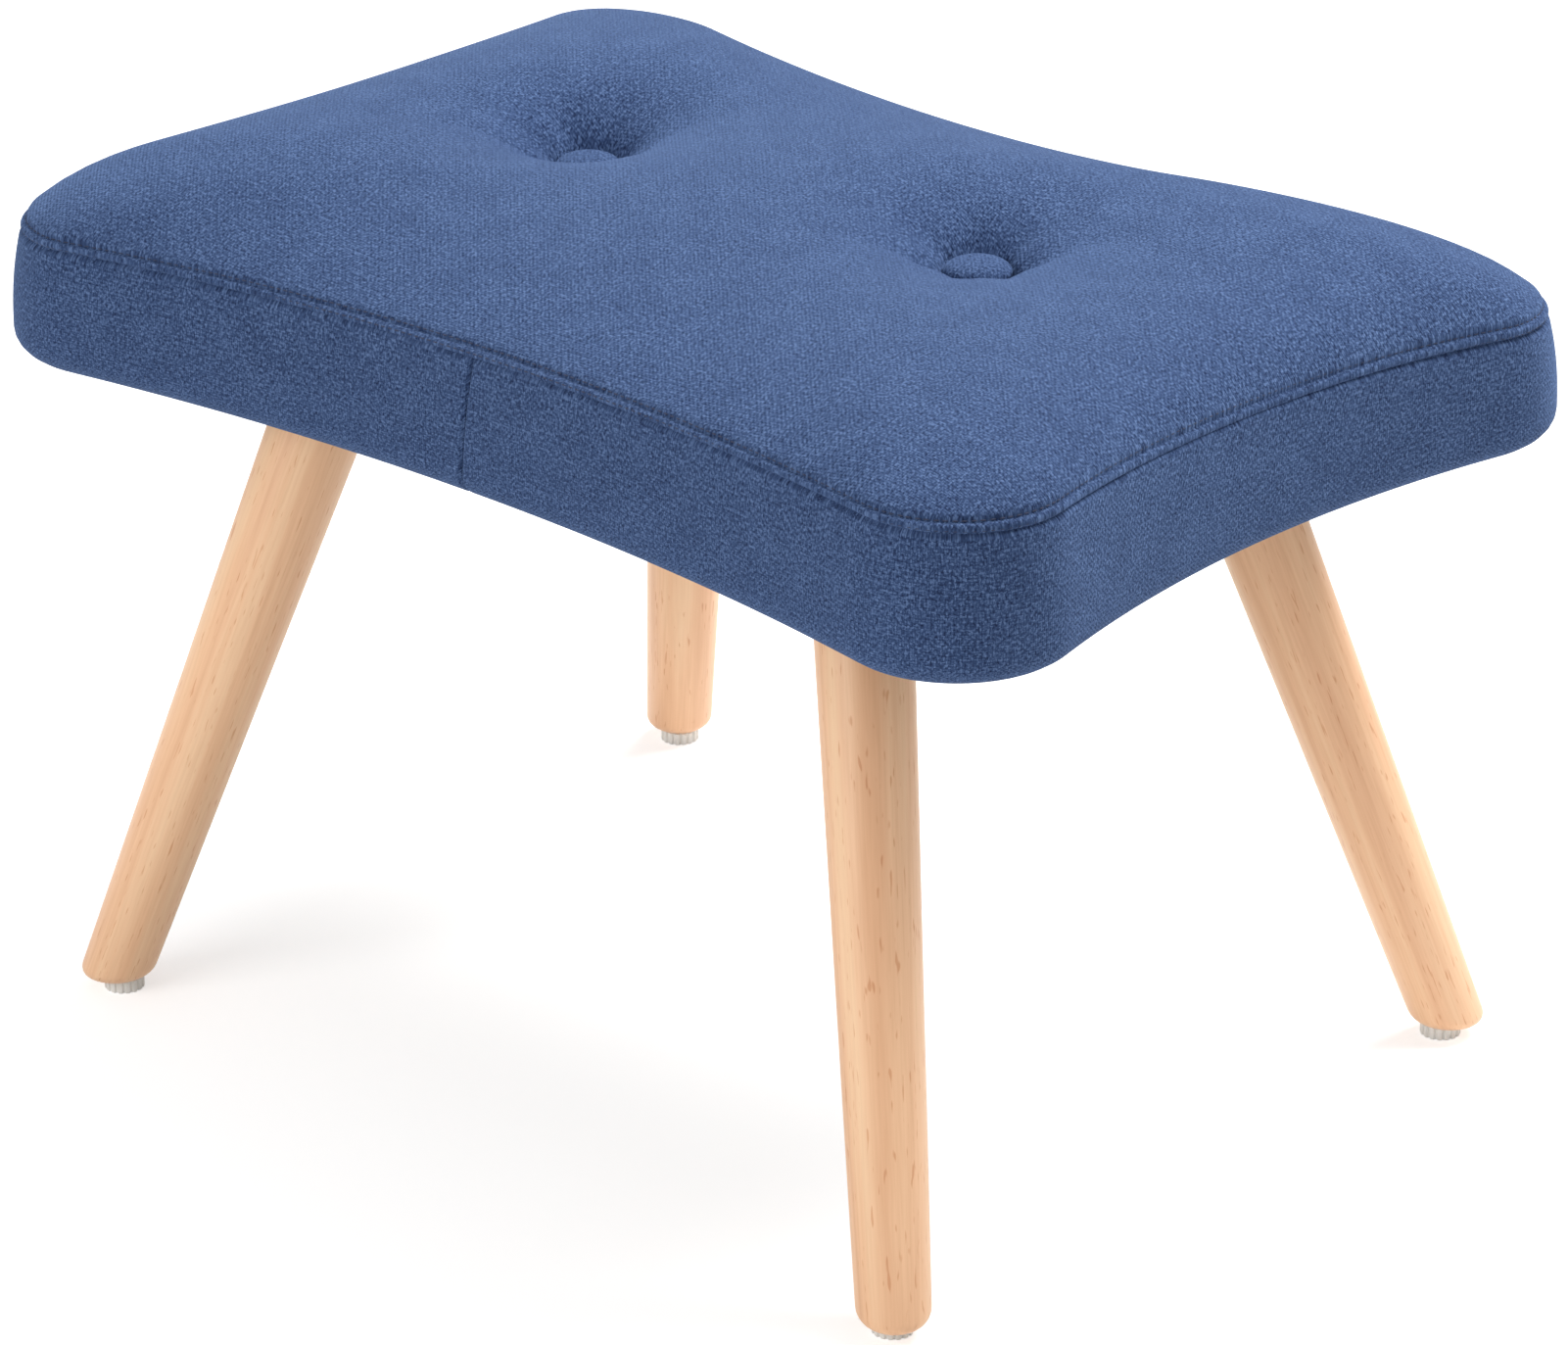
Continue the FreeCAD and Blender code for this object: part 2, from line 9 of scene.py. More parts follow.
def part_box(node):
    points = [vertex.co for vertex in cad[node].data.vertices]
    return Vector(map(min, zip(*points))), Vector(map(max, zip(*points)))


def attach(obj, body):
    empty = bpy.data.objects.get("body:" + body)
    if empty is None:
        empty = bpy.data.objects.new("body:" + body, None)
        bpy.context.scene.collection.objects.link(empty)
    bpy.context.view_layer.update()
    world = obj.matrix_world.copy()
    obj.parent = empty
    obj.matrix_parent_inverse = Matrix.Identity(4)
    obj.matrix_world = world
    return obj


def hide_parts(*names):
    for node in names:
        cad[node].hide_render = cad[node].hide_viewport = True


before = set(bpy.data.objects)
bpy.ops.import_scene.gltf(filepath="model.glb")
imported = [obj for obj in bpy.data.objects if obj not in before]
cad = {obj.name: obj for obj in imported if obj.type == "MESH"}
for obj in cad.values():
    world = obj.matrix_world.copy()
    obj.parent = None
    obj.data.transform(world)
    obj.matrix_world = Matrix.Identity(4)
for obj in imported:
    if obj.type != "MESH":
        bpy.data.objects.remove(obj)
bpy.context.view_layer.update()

scene = bpy.context.scene

# Cover cloth: a plain weave of heathered polyester yarn, navy with paler and darker fibres.
# One bolt of it covers the top, the border bands and the buttons, so they share a material.
YARN_PITCH = 0.00105
CLOTH_DARK = (0.008, 0.016, 0.054)
CLOTH_MID = (0.035, 0.065, 0.155)
CLOTH_PALE = (0.106, 0.170, 0.330)
CLOTH_SHADES = [(0.36, CLOTH_DARK), (0.50, CLOTH_MID), (0.64, CLOTH_PALE)]
CLOTH_SHEEN = (0.30, 0.48, 0.88, 1.0)
FIBRES_ACROSS = 1250.0
FIBRES_ALONG = 330.0
FIBRE_SHARE = 0.45
FLECK_SHARE = 0.45
CLOUD_SHARE = 0.10
# Painted shade in the weave: the hollows between the yarns are coloured darker and the yarn crowns paler, by
# this share of the yarns' height measured from this level
WEAVE_HOLLOW_SHADE_SHARE = 0.08
WEAVE_HOLLOW_SHADE_LEVEL = 0.6


def node_at(tree, kind, **inputs):
    node = tree.nodes.new(kind)
    for name, value in inputs.items():
        node.inputs[name.replace("_", " ")].default_value = value
    return node


def maths(tree, operation, first, second=None):
    node = tree.nodes.new("ShaderNodeMath")
    node.operation = operation
    for socket, value in zip(node.inputs, (first, second)):
        if value is None:
            continue
        if isinstance(value, (int, float)):
            socket.default_value = value
        else:
            tree.links.new(value, socket)
    return node.outputs[0]


def weighted_sum(tree, terms):
    parts = [maths(tree, "MULTIPLY", value, weight) for value, weight in terms]
    total = parts[0]
    for part in parts[1:]:
        total = maths(tree, "ADD", total, part)
    return total


def new_group(name, inputs, outputs):
    group = bpy.data.node_groups.new(name, "ShaderNodeTree")
    for title, kind, value in inputs:
        socket = group.interface.new_socket(title, in_out="INPUT", socket_type=kind)
        if value is not None:
            socket.default_value = value
    for title, kind in outputs:
        group.interface.new_socket(title, in_out="OUTPUT", socket_type=kind)
    return group, group.nodes.new("NodeGroupInput"), group.nodes.new("NodeGroupOutput")


def placed_group(tree, group, **inputs):
    node = tree.nodes.new("ShaderNodeGroup")
    node.node_tree = group
    for name, value in inputs.items():
        node.inputs[name.replace("_", " ")].default_value = value
    return node


def new_material(name, roughness):
    material = bpy.data.materials.new(name)
    material.use_nodes = True
    shader = material.node_tree.nodes["Principled BSDF"]
    shader.inputs["Roughness"].default_value = roughness
    return material, material.node_tree, shader


# A noise on a stretched vector: fibres run along the axis that has the small scale
def stretched_noise(tree, vector, scale, detail=2.0, roughness=0.5):
    mapping = tree.nodes.new("ShaderNodeMapping")
    mapping.inputs["Scale"].default_value = scale
    tree.links.new(vector, mapping.inputs["Vector"])
    texture = node_at(tree, "ShaderNodeTexNoise", Scale=1.0, Detail=detail, Roughness=roughness)
    tree.links.new(mapping.outputs[0], texture.inputs["Vector"])
    return texture.outputs["Fac"]


def ramp(tree, value, stops):
    node = tree.nodes.new("ShaderNodeValToRGB")
    while len(node.color_ramp.elements) < len(stops):
        node.color_ramp.elements.new(0.5)
    for element, (place, colour) in zip(node.color_ramp.elements, stops):
        element.position = place
        element.color = (*colour, 1.0)
    tree.links.new(value, node.inputs["Fac"])
    return node.outputs["Color"]


def bump(tree, shader, height, strength, distance):
    node = node_at(tree, "ShaderNodeBump", Strength=strength, Distance=distance)
    tree.links.new(height, node.inputs["Height"])
    tree.links.new(node.outputs["Normal"], shader.inputs["Normal"])


# Plain weave: Height is the yarns' relief, Fibre the shade of the yarn on top at that crossing
weave, weave_in, weave_out = new_group(
    "plain_weave",
    [("Vector", "NodeSocketVector", None), ("Pitch", "NodeSocketFloat", YARN_PITCH)],
    [("Height", "NodeSocketFloat"), ("Fibre", "NodeSocketFloat")],
)
weave_axes = weave.nodes.new("ShaderNodeSeparateXYZ")
weave.links.new(weave_in.outputs["Vector"], weave_axes.inputs[0])
across_count = maths(weave, "DIVIDE", weave_axes.outputs["X"], weave_in.outputs["Pitch"])
along_count = maths(weave, "DIVIDE", weave_axes.outputs["Y"], weave_in.outputs["Pitch"])
across_wave, along_wave = [
    maths(weave, "ABSOLUTE", maths(weave, "SINE", maths(weave, "MULTIPLY", count, math.pi)))
    for count in (across_count, along_count)
]
cell = maths(weave, "ADD", maths(weave, "FLOOR", across_count), maths(weave, "FLOOR", along_count))
warp_on_top = maths(weave, "GREATER_THAN", maths(weave, "FLOORED_MODULO", cell, 2.0), 0.5)
weave_height = weave.nodes.new("ShaderNodeMix")
weave.links.new(warp_on_top, weave_height.inputs["Factor"])
weave.links.new(along_wave, weave_height.inputs["A"])
weave.links.new(across_wave, weave_height.inputs["B"])
weave.links.new(weave_height.outputs["Result"], weave_out.inputs["Height"])
warp_shade = stretched_noise(weave, weave_in.outputs["Vector"], (FIBRES_ACROSS, FIBRES_ALONG, 1.0))
weft_shade = stretched_noise(weave, weave_in.outputs["Vector"], (FIBRES_ALONG, FIBRES_ACROSS, 1.0))
weave_shade = weave.nodes.new("ShaderNodeMix")
weave.links.new(warp_on_top, weave_shade.inputs["Factor"])
weave.links.new(weft_shade, weave_shade.inputs["A"])
weave.links.new(warp_shade, weave_shade.inputs["B"])
weave.links.new(weave_shade.outputs["Result"], weave_out.inputs["Fibre"])

cloth, cloth_tree, cloth_shader = new_material("blue_cover_cloth", 0.92)
cloth_map = cloth_tree.nodes.new("ShaderNodeUVMap")
cloth_map.uv_map = "weave"
cloth_weave = placed_group(cloth_tree, weave, Pitch=YARN_PITCH)
cloth_tree.links.new(cloth_map.outputs["UV"], cloth_weave.inputs["Vector"])
cloth_place = cloth_map.outputs["UV"]
cloth_fleck = stretched_noise(cloth_tree, cloth_place, (800.0, 800.0, 1.0), detail=1.0)
cloth_cloud = stretched_noise(cloth_tree, cloth_place, (60.0, 60.0, 1.0), detail=3.0, roughness=0.6)
# Painted shade: the yarns' height is added into the cloth's colour, so the hollows of the weave come out
# darker and the crowns paler
cloth_weave_hollow_shade = maths(cloth_tree, "SUBTRACT", cloth_weave.outputs["Height"], WEAVE_HOLLOW_SHADE_LEVEL)
cloth_shade = weighted_sum(cloth_tree, [
    (cloth_weave.outputs["Fibre"], FIBRE_SHARE),
    (cloth_fleck, FLECK_SHARE),
    (cloth_cloud, CLOUD_SHARE),
    (cloth_weave_hollow_shade, WEAVE_HOLLOW_SHADE_SHARE),
])
cloth_tree.links.new(ramp(cloth_tree, cloth_shade, CLOTH_SHADES), cloth_shader.inputs["Base Color"])
cloth_shader.inputs["Specular IOR Level"].default_value = 0.15
cloth_shader.inputs["Sheen Weight"].default_value = 0.28
cloth_shader.inputs["Sheen Roughness"].default_value = 0.5
cloth_shader.inputs["Sheen Tint"].default_value = CLOTH_SHEEN
bump(cloth_tree, cloth_shader, cloth_weave.outputs["Height"], strength=0.55, distance=0.00035)

# Top panel of the cover: one piece of cloth over crowned wadding, sewn to the bands round its
# edge, topstitched beside the seam and drawn down at the two buttons.
SEAT_LENGTH = 0.562
SEAT_WIDTH = 0.392
CORNER_RADIUS = 0.050
WAISTS = np.array([0.021, 0.017])
SEAM_INSET = 0.0048
SEAM_HEIGHT = 0.3453
SEAM_ALLOWANCE = 0.004
PANEL_CLOTH = 0.0010
PANEL_HALF_COUNT = 84
PANEL_EDGE_RINGS = 18
EDGE_WIDTH = 0.009
TUFT_PLACES = {"left": (-0.1068, 0.0015), "right": (0.1117, 0.0008)}
TUFT_FLOORS = {"left": 0.3568, "right": 0.3653}
TUFT_DEPTHS = {"left": 0.0400, "right": 0.0318}
TOPSTITCH_PLACE = 0.0055

# The outline has a hollow arc along each side and a rounded corner, all tangent. Sides run
# counterclockwise: 0 front, 1 right, 2 back, 3 left. Along a side, -1 to 1 goes from the middle
# of one corner to the middle of the next. The outline's places come with their outward normals.
half_along = np.array([SEAT_LENGTH / 2, SEAT_WIDTH / 2])
half_across = half_along[::-1]
corner_along = half_along - CORNER_RADIUS
corner_across = half_across - CORNER_RADIUS
hollow_radius = (corner_along**2 - 2 * CORNER_RADIUS * WAISTS + WAISTS**2) / (2 * WAISTS)
hollow_turn = np.arcsin(corner_along / (hollow_radius + CORNER_RADIUS))
corner_turn = (math.pi / 2 + hollow_turn.sum()) / 2
half_side = hollow_radius * hollow_turn + CORNER_RADIUS * corner_turn


def outline_place(side, along, inset=0.0):
    kind = side % 2
    run = np.abs(along) * half_side[kind]
    hollow_run = hollow_radius[kind] * hollow_turn[kind]
    on_hollow = run < hollow_run
    hollow_angle = run / hollow_radius[kind]
    corner_angle = run / CORNER_RADIUS - hollow_run / CORNER_RADIUS - hollow_turn[kind]
    middle = half_across[kind] - WAISTS[kind]
    p = np.where(on_hollow, hollow_radius[kind] * np.sin(hollow_angle),
                 corner_along[kind] + CORNER_RADIUS * np.sin(corner_angle))
    q = np.where(on_hollow, middle + hollow_radius[kind] * (1 - np.cos(hollow_angle)),
                 corner_across[kind] + CORNER_RADIUS * np.cos(corner_angle))
    normal_p = np.where(on_hollow, -np.sin(hollow_angle), np.sin(corner_angle))
    normal_q = np.where(on_hollow, np.cos(hollow_angle), np.cos(corner_angle))
    hand = np.where(along < 0, -1.0, 1.0)
    p, normal_p = (p - inset * normal_p) * hand, normal_p * hand
    q = q - inset * normal_q
    x = np.choose(side, [p, q, -p, -q])
    y = np.choose(side, [-q, p, q, -p])
    normal_x = np.choose(side, [normal_p, normal_q, -normal_p, -normal_q])
    normal_y = np.choose(side, [-normal_q, normal_p, normal_q, -normal_p])
    return x, y, normal_x, normal_y


# The seam isn't quite level: it follows the stuffing, and is higher at the front right corner.
# Its tilts are in millimetres for a full half length or half width.
SEAM_TILT_LONG = 4.99
SEAM_TILT_WIDE = -7.22
SEAM_BOW_LONG = -3.64
SEAM_BOW_WIDE = -2.36
SEAM_BACK_LEFT = 1.0


def seat_shares(x, y):
    return x / (SEAT_LENGTH / 2), y / (SEAT_WIDTH / 2)


def seam_level(x, y):
    u, v = seat_shares(x, y)
    tilt = SEAM_TILT_LONG * u + SEAM_TILT_WIDE * v
    bow = SEAM_BOW_LONG * u**2
    return SEAM_HEIGHT + (tilt + bow + SEAM_BOW_WIDE * v**2 + SEAM_BACK_LEFT * (1 - u) * (1 + v)) / 1000


# The crown rises from the seam like a cushion: round at its edge, nearly flat in the middle,
# higher at the two ends and lower at the front and back
CROWN_RISE = 0.0530
CROWN_FLATNESS = 1.99
CROWN_ROUNDNESS = 1.76
CROWN_END_RISE = 0.0293
CROWN_SIDE_FALL = 0.0307
CROWN_BACK_LEFT_FALL = 0.0006


def crown_place(side, along, share):
    edge_x, edge_y, _, _ = outline_place(side, along, SEAM_INSET)
    x, y = edge_x * share, edge_y * share
    fullness = np.maximum(1 - share**CROWN_FLATNESS, 0) ** (1 / CROWN_ROUNDNESS)
    u, v = seat_shares(x, y)
    bow = CROWN_END_RISE * u**2
    crown = (SEAM_HEIGHT + CROWN_RISE + bow - CROWN_SIDE_FALL * v**2
             - CROWN_BACK_LEFT_FALL * (1 - u) * (1 + v))
    return x, y, seam_level(edge_x, edge_y) * (1 - fullness) + crown * fullness


# Shares of the way from the middle to the seam, at distances along the surface from the seam
SHARE_STEPS = 90
SHARE_REACH = 0.3


def shares_at(side, along, distances):
    steps = np.linspace(0, 1, SHARE_STEPS)
    shares = 1 - SHARE_REACH * steps**2
    x, y, z = crown_place(side[:, None], along[:, None], shares[None, :])
    runs = np.sqrt(np.diff(x) ** 2 + np.diff(y) ** 2 + np.diff(z) ** 2).cumsum(axis=1)
    runs = np.hstack([np.zeros((len(side), 1)), runs])
    return np.array([np.interp(distance, run, shares) for distance, run in zip(distances, runs)])


# Depth that a tuft takes out of the crown: a tight tuck beside the button, a wide hollow that
# is steeper behind than in front, and a pleat drawn out to both sides
TUFT_TUCK = 0.0042
TUCK_SPREAD = 0.0025
HOLLOW_START = 0.0140
HOLLOW_SPREAD = 0.037
HOLLOW_STEEPNESS = 0.016
GATHER_COUNT = 7
GATHER_SHARE = 0.05
GATHER_SPREAD = 0.02
GATHER_SHIFT = 11
PLEAT_DIRECTION = math.radians(43)
PLEAT_DEPTH = 0.0055
PLEAT_OFFSET = 0.006
PLEAT_HALF_WIDTH = 0.0045
PLEAT_START = 0.012
PLEAT_GAP = 0.014
PLEAT_REACHES = {"left": 0.026, "right": 0.018}


def tuft_depth(x, y):
    total = np.zeros_like(x)
    for name, (tuft_x, tuft_y) in TUFT_PLACES.items():
        out_x, out_y = x - tuft_x, y - tuft_y
        pleat = out_x * math.cos(PLEAT_DIRECTION) + out_y * math.sin(PLEAT_DIRECTION)
        behind = -out_x * math.sin(PLEAT_DIRECTION) + out_y * math.cos(PLEAT_DIRECTION)
        radius = np.hypot(out_x, out_y)
        beyond = np.maximum(radius - HOLLOW_START, 0)
        facing = behind / np.maximum(radius, 0.001)
        spread = HOLLOW_SPREAD - HOLLOW_STEEPNESS * facing
        angle = np.arctan2(behind, pleat)
        wave = np.cos(GATHER_COUNT * angle + GATHER_SHIFT * tuft_x)
        gather = 1 + GATHER_SHARE * wave * np.exp(-beyond / GATHER_SPREAD)
        hollow = (TUFT_DEPTHS[name] - TUFT_TUCK) * np.exp(-beyond / spread) * gather
        tuck = TUFT_TUCK * np.exp(-beyond / TUCK_SPREAD)
        reach = np.exp(-np.maximum(np.abs(pleat) - PLEAT_START, 0) / PLEAT_REACHES[name])
        crease = np.exp(-np.abs(behind + PLEAT_OFFSET) / PLEAT_HALF_WIDTH)
        fold = PLEAT_DEPTH * reach * crease * (1 - np.exp(-((pleat / PLEAT_GAP) ** 4)))
        total += hollow + tuck + fold
    return total


# How far the cloth stands off its crown, by distance from the seam: it dives into the seam
# and is drawn in again by the topstitching. Each row is a height, its place and its width.
SEAM_RELIEF = [
    (-0.0017, 0.0, 0.0011),
    (-0.0008, TOPSTITCH_PLACE, 0.0009),
    (0.0004, 0.0028, 0.0016),
    (0.0005, 0.0095, 0.0030),
]


def seam_relief(distance):
    return sum(height * np.exp(-(((distance - place) / width) ** 2)) for height, place, width in SEAM_RELIEF)


# A square grid is laid on the crown as rings that follow the outline. Rings lie close together
# at the seam and round the buttons, and columns do so at the middle of the short sides.
RING_STEPS = [0, 0.24, 0.67, 1]
RING_SHARES = [0, 0.345, 0.505, 1]


def crown_sheet(half_count, edge_rings):
    sheet = bmesh.new()
    bmesh.ops.create_grid(sheet, x_segments=2 * half_count, y_segments=2 * half_count, size=half_count)
    across = np.array([round(vertex.co.x) for vertex in sheet.verts])
    up = np.array([round(vertex.co.y) for vertex in sheet.verts])
    ring = np.maximum(np.abs(across), np.abs(up))
    reach = np.maximum(ring, 1)
    side = np.where(up == -ring, 0, np.where(across == ring, 1, np.where(up == ring, 2, 3)))
    along = np.choose(side, [across, up, -across, -up]) / reach
    along = np.where(side % 2 == 1, 0.5 * along + 0.5 * along**3, along)
    ring_from_seam = half_count - ring
    near = ring_from_seam <= edge_rings
    distance = EDGE_WIDTH * ring_from_seam / edge_rings
    edge_share = shares_at(side, along, np.minimum(distance, EDGE_WIDTH))
    inner_count = half_count - edge_rings
    inner_rings = np.arange(inner_count + 1)
    crowded = np.interp(inner_rings / inner_count, RING_STEPS, RING_SHARES)
    inner_share = np.interp(np.minimum(ring, inner_count), inner_rings, crowded)
    share = np.where(near, edge_share, inner_share * edge_share)
    x, y, z = crown_place(side, along, share)
    for vertex, place in zip(sheet.verts, zip(x, y, z)):
        vertex.co = place
    return sheet, distance, near, x, y


def turn_outward(shape, outward):
    bmesh.ops.recalc_face_normals(shape, faces=shape.faces)
    if sum(face.normal.dot(outward(face)) for face in shape.faces) < 0:
        bmesh.ops.reverse_faces(shape, faces=shape.faces)


def add_weave_map(shape, place):
    layer = shape.loops.layers.uv.new("weave")
    for face in shape.faces:
        for loop in face.loops:
            loop[layer].uv = place(loop)


def new_piece(name, shape, material, body="stool"):
    mesh = bpy.data.meshes.new(name)
    for face in shape.faces:
        face.smooth = True
    shape.to_mesh(mesh)
    shape.free()
    mesh.materials.append(material)
    piece = bpy.data.objects.new(name, mesh)
    scene.collection.objects.link(piece)
    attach(piece, body)
    return piece


def add_thickness(piece, thickness):
    modifier = piece.modifiers.new("cloth_thickness", "SOLIDIFY")
    modifier.thickness = thickness
    modifier.offset = -1.0


panel_sheet, panel_distance, panel_near, panel_x, panel_y = crown_sheet(PANEL_HALF_COUNT, PANEL_EDGE_RINGS)
turn_outward(panel_sheet, lambda face: Vector((0, 0, 1)))
panel_sheet.normal_update()
relief = np.where(panel_near, seam_relief(panel_distance), 0.0)
depth = tuft_depth(panel_x, panel_y)
for vertex, lift, drop in zip(panel_sheet.verts, relief, depth):
    vertex.co = vertex.co + vertex.normal * float(lift) - Vector((0, 0, float(drop)))
panel_edge = [edge for edge in panel_sheet.edges if edge.is_boundary]
allowance = bmesh.ops.extrude_edge_only(panel_sheet, edges=panel_edge)
for item in allowance["geom"]:
    if isinstance(item, bmesh.types.BMVert):
        inward = Vector((-item.co.x, -item.co.y, 0)).normalized()
        item.co = item.co + inward * SEAM_ALLOWANCE
add_weave_map(panel_sheet, lambda loop: (loop.vert.co.x, loop.vert.co.y))
top_panel = new_piece("cover_top_cloth", panel_sheet, cloth)
add_thickness(top_panel, PANEL_CLOTH)
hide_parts("cover_top_panel")

# Foam pad: a block of cushion foam glued on the seat board, crowned and drawn down under the
# buttons. It fills the cover from the board up, a little under the cloth.
FOAM_DROP = 0.0035
FOAM_SHRINK = 0.972
FOAM_TUFT_SHARE = 1.15
FOAM_LEAST = 0.02
FOAM_HALF_COUNT = 40
FOAM_EDGE_RINGS = 6
BOARD_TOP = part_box("seat_board")[1].z
foam_sheet, _, _, foam_x, foam_y = crown_sheet(FOAM_HALF_COUNT, FOAM_EDGE_RINGS)
for vertex, drop in zip(foam_sheet.verts, tuft_depth(foam_x, foam_y)):
    height = max(vertex.co.z - float(drop) * FOAM_TUFT_SHARE - FOAM_DROP, BOARD_TOP + FOAM_LEAST)
    vertex.co = (vertex.co.x * FOAM_SHRINK, vertex.co.y * FOAM_SHRINK, height)
foam_edge = [edge for edge in foam_sheet.edges if edge.is_boundary]
foam_wall = bmesh.ops.extrude_edge_only(foam_sheet, edges=foam_edge)["geom"]
for item in foam_wall:
    if isinstance(item, bmesh.types.BMVert):
        item.co.z = BOARD_TOP
foam_rim = [item for item in foam_wall if isinstance(item, bmesh.types.BMEdge) and item.is_boundary]
bmesh.ops.contextual_create(foam_sheet, geom=foam_rim)
bmesh.ops.recalc_face_normals(foam_sheet, faces=foam_sheet.faces)

foam_stuff, foam_tree, foam_shader = new_material("cushion_foam", 0.95)
foam_place = foam_tree.nodes.new("ShaderNodeTexCoord").outputs["Object"]
foam_cells = node_at(foam_tree, "ShaderNodeTexVoronoi", Scale=900.0)
foam_tree.links.new(foam_place, foam_cells.inputs["Vector"])
foam_colour = ramp(foam_tree, foam_cells.outputs["Distance"],
                   [(0.0, (0.62, 0.57, 0.42)), (0.6, (0.82, 0.78, 0.62))])
foam_tree.links.new(foam_colour, foam_shader.inputs["Base Color"])
bump(foam_tree, foam_shader, foam_cells.outputs["Distance"], strength=0.5, distance=0.0006)
foam = new_piece("seat_foam", foam_sheet, foam_stuff)
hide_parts("foam_pad")

# Border bands: two lengths of the cover cloth round the side of the seat, sewn to the top panel
# and to each other near the middle of each long side, then rolled under the board as a hem.
BAND_LOW = 0.2912
ROLL_LOW = 0.2893
BAND_TURN = 0.3000
ROLL_INSET = 0.012
HEM_INSET = 0.023
JOINT_PLACE = 0.005
BAND_CLOTH = 0.0011
COLUMN_PITCH = 0.0031
END_STEPS = [0, 0.0004, 0.0008, 0.0013, 0.0019, 0.0027, 0.004, 0.006]
perimeter = 4 * half_side.sum()


# Side and place along it of a run measured counterclockwise from the middle of the front
def run_place(run):
    run = np.mod(run, perimeter)
    ends = np.cumsum([half_side[0], 2 * half_side[1], 2 * half_side[0], 2 * half_side[1], half_side[0]])
    part = np.minimum(np.searchsorted(ends, run, side="right"), 4)
    side = part % 4
    start = np.concatenate([[-half_side[0]], ends[:4]])
    length = half_side[side % 2]
    return side, np.clip((run - start[part]) / length - 1, -1, 1)


# Rows of the band from the seam down: shares of its height, angles of the roll under the
# board, then shares of the hem. Rows and columns lie close together at seam and joints.
BAND_ROWS = [0, 0.008, 0.016, 0.026, 0.038, 0.052, 0.070, 0.095, 0.13, 0.17, 0.22, 0.28, 0.35, 0.43,
             0.52, 0.61, 0.70, 0.79, 0.87, 0.94]
ROLL_ROWS = [math.radians(angle) for angle in (0, 15, 30, 45, 60, 75, 90)]
HEM_ROWS = [0.25, 0.5, 0.75, 1.0]
SEAM_DIP = 0.0017
SEAM_DIP_WIDTH = 0.0011
JOINT_DIP = 0.0014
JOINT_DIP_WIDTH = 0.0009
BELLY_POWER = 2.2
# The front joint leans a little, about a height of 318 mm, and the lean fades out beside it
JOINT_LEAN = 0.074
JOINT_LEAN_HEIGHT = 0.318
JOINT_LEAN_SPREAD = 0.03
FRONT_REACH = 0.1


def make_band(name, start_run, end_run, node):
    rows = len(BAND_ROWS) + len(ROLL_ROWS) + len(HEM_ROWS)
    length = end_run - start_run
    end_width = END_STEPS[-1]
    middle_count = round((length - 2 * end_width) / COLUMN_PITCH)
    middle_steps = list(np.linspace(end_width, length - end_width, middle_count + 1)[1:-1])
    runs = np.array(END_STEPS + middle_steps + [length - step for step in reversed(END_STEPS)])
    columns = len(runs)
    sheet = bmesh.new()
    bmesh.ops.create_grid(sheet, x_segments=columns - 1, y_segments=rows - 1, size=0.5)
    column = np.array([round((vertex.co.x + 0.5) * (columns - 1)) for vertex in sheet.verts])
    row = np.array([round((0.5 - vertex.co.y) * (rows - 1)) for vertex in sheet.verts])
    end_gap = np.minimum(runs, length - runs)[column]
    run = start_run + runs[column]
    seam_x, seam_y, _, _ = outline_place(*run_place(run), SEAM_INSET)
    seam = seam_level(seam_x, seam_y)
    inset = np.zeros(len(run))
    height = np.zeros(len(run))
    for index in range(rows):
        here = row == index
        if index < len(BAND_ROWS):
            share = BAND_ROWS[index]
            height[here] = seam[here] - share * (seam[here] - BAND_TURN)
            drawn_in = SEAM_DIP * np.exp(-(((seam[here] - height[here]) / SEAM_DIP_WIDTH) ** 2))
            inset[here] = SEAM_INSET * (1 - share) ** BELLY_POWER + drawn_in
        elif index < len(BAND_ROWS) + len(ROLL_ROWS):
            angle = ROLL_ROWS[index - len(BAND_ROWS)]
            inset[here] = ROLL_INSET * (1 - math.cos(angle))
            height[here] = BAND_TURN - (BAND_TURN - ROLL_LOW) * math.sin(angle)
        else:
            share = HEM_ROWS[index - len(BAND_ROWS) - len(ROLL_ROWS)]
            inset[here] = ROLL_INSET + share * (HEM_INSET - ROLL_INSET)
            height[here] = BAND_LOW - (BAND_LOW - ROLL_LOW) * (1 - min(1, 2 * share))
    at_front = np.mod(run + FRONT_REACH, perimeter) < 2 * FRONT_REACH
    lean = np.where(at_front, JOINT_LEAN, 0.0)
    run = run + lean * (height - JOINT_LEAN_HEIGHT) * np.exp(-end_gap / JOINT_LEAN_SPREAD)
    inset = inset + JOINT_DIP * np.exp(-((end_gap / JOINT_DIP_WIDTH) ** 2))
    x, y, _, _ = outline_place(*run_place(run), inset)
    for vertex, place in zip(sheet.verts, zip(x, y, height)):
        vertex.co = place
    turn_outward(sheet, lambda face: face.calc_center_median() * Vector((1, 1, 0)))
    sheet.verts.index_update()
    drop = height - inset
    add_weave_map(sheet, lambda loop: (float(run[loop.vert.index]), float(drop[loop.vert.index])))
    band = new_piece(name, sheet, cloth)
    add_thickness(band, BAND_CLOTH)
    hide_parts(node)


back_joint = 2 * half_side[0] + 2 * half_side[1] + JOINT_PLACE
make_band("border_cloth_right", -JOINT_PLACE, back_joint, "border_band_right")
make_band("border_cloth_left", back_joint, perimeter - JOINT_PLACE, "border_band_left")

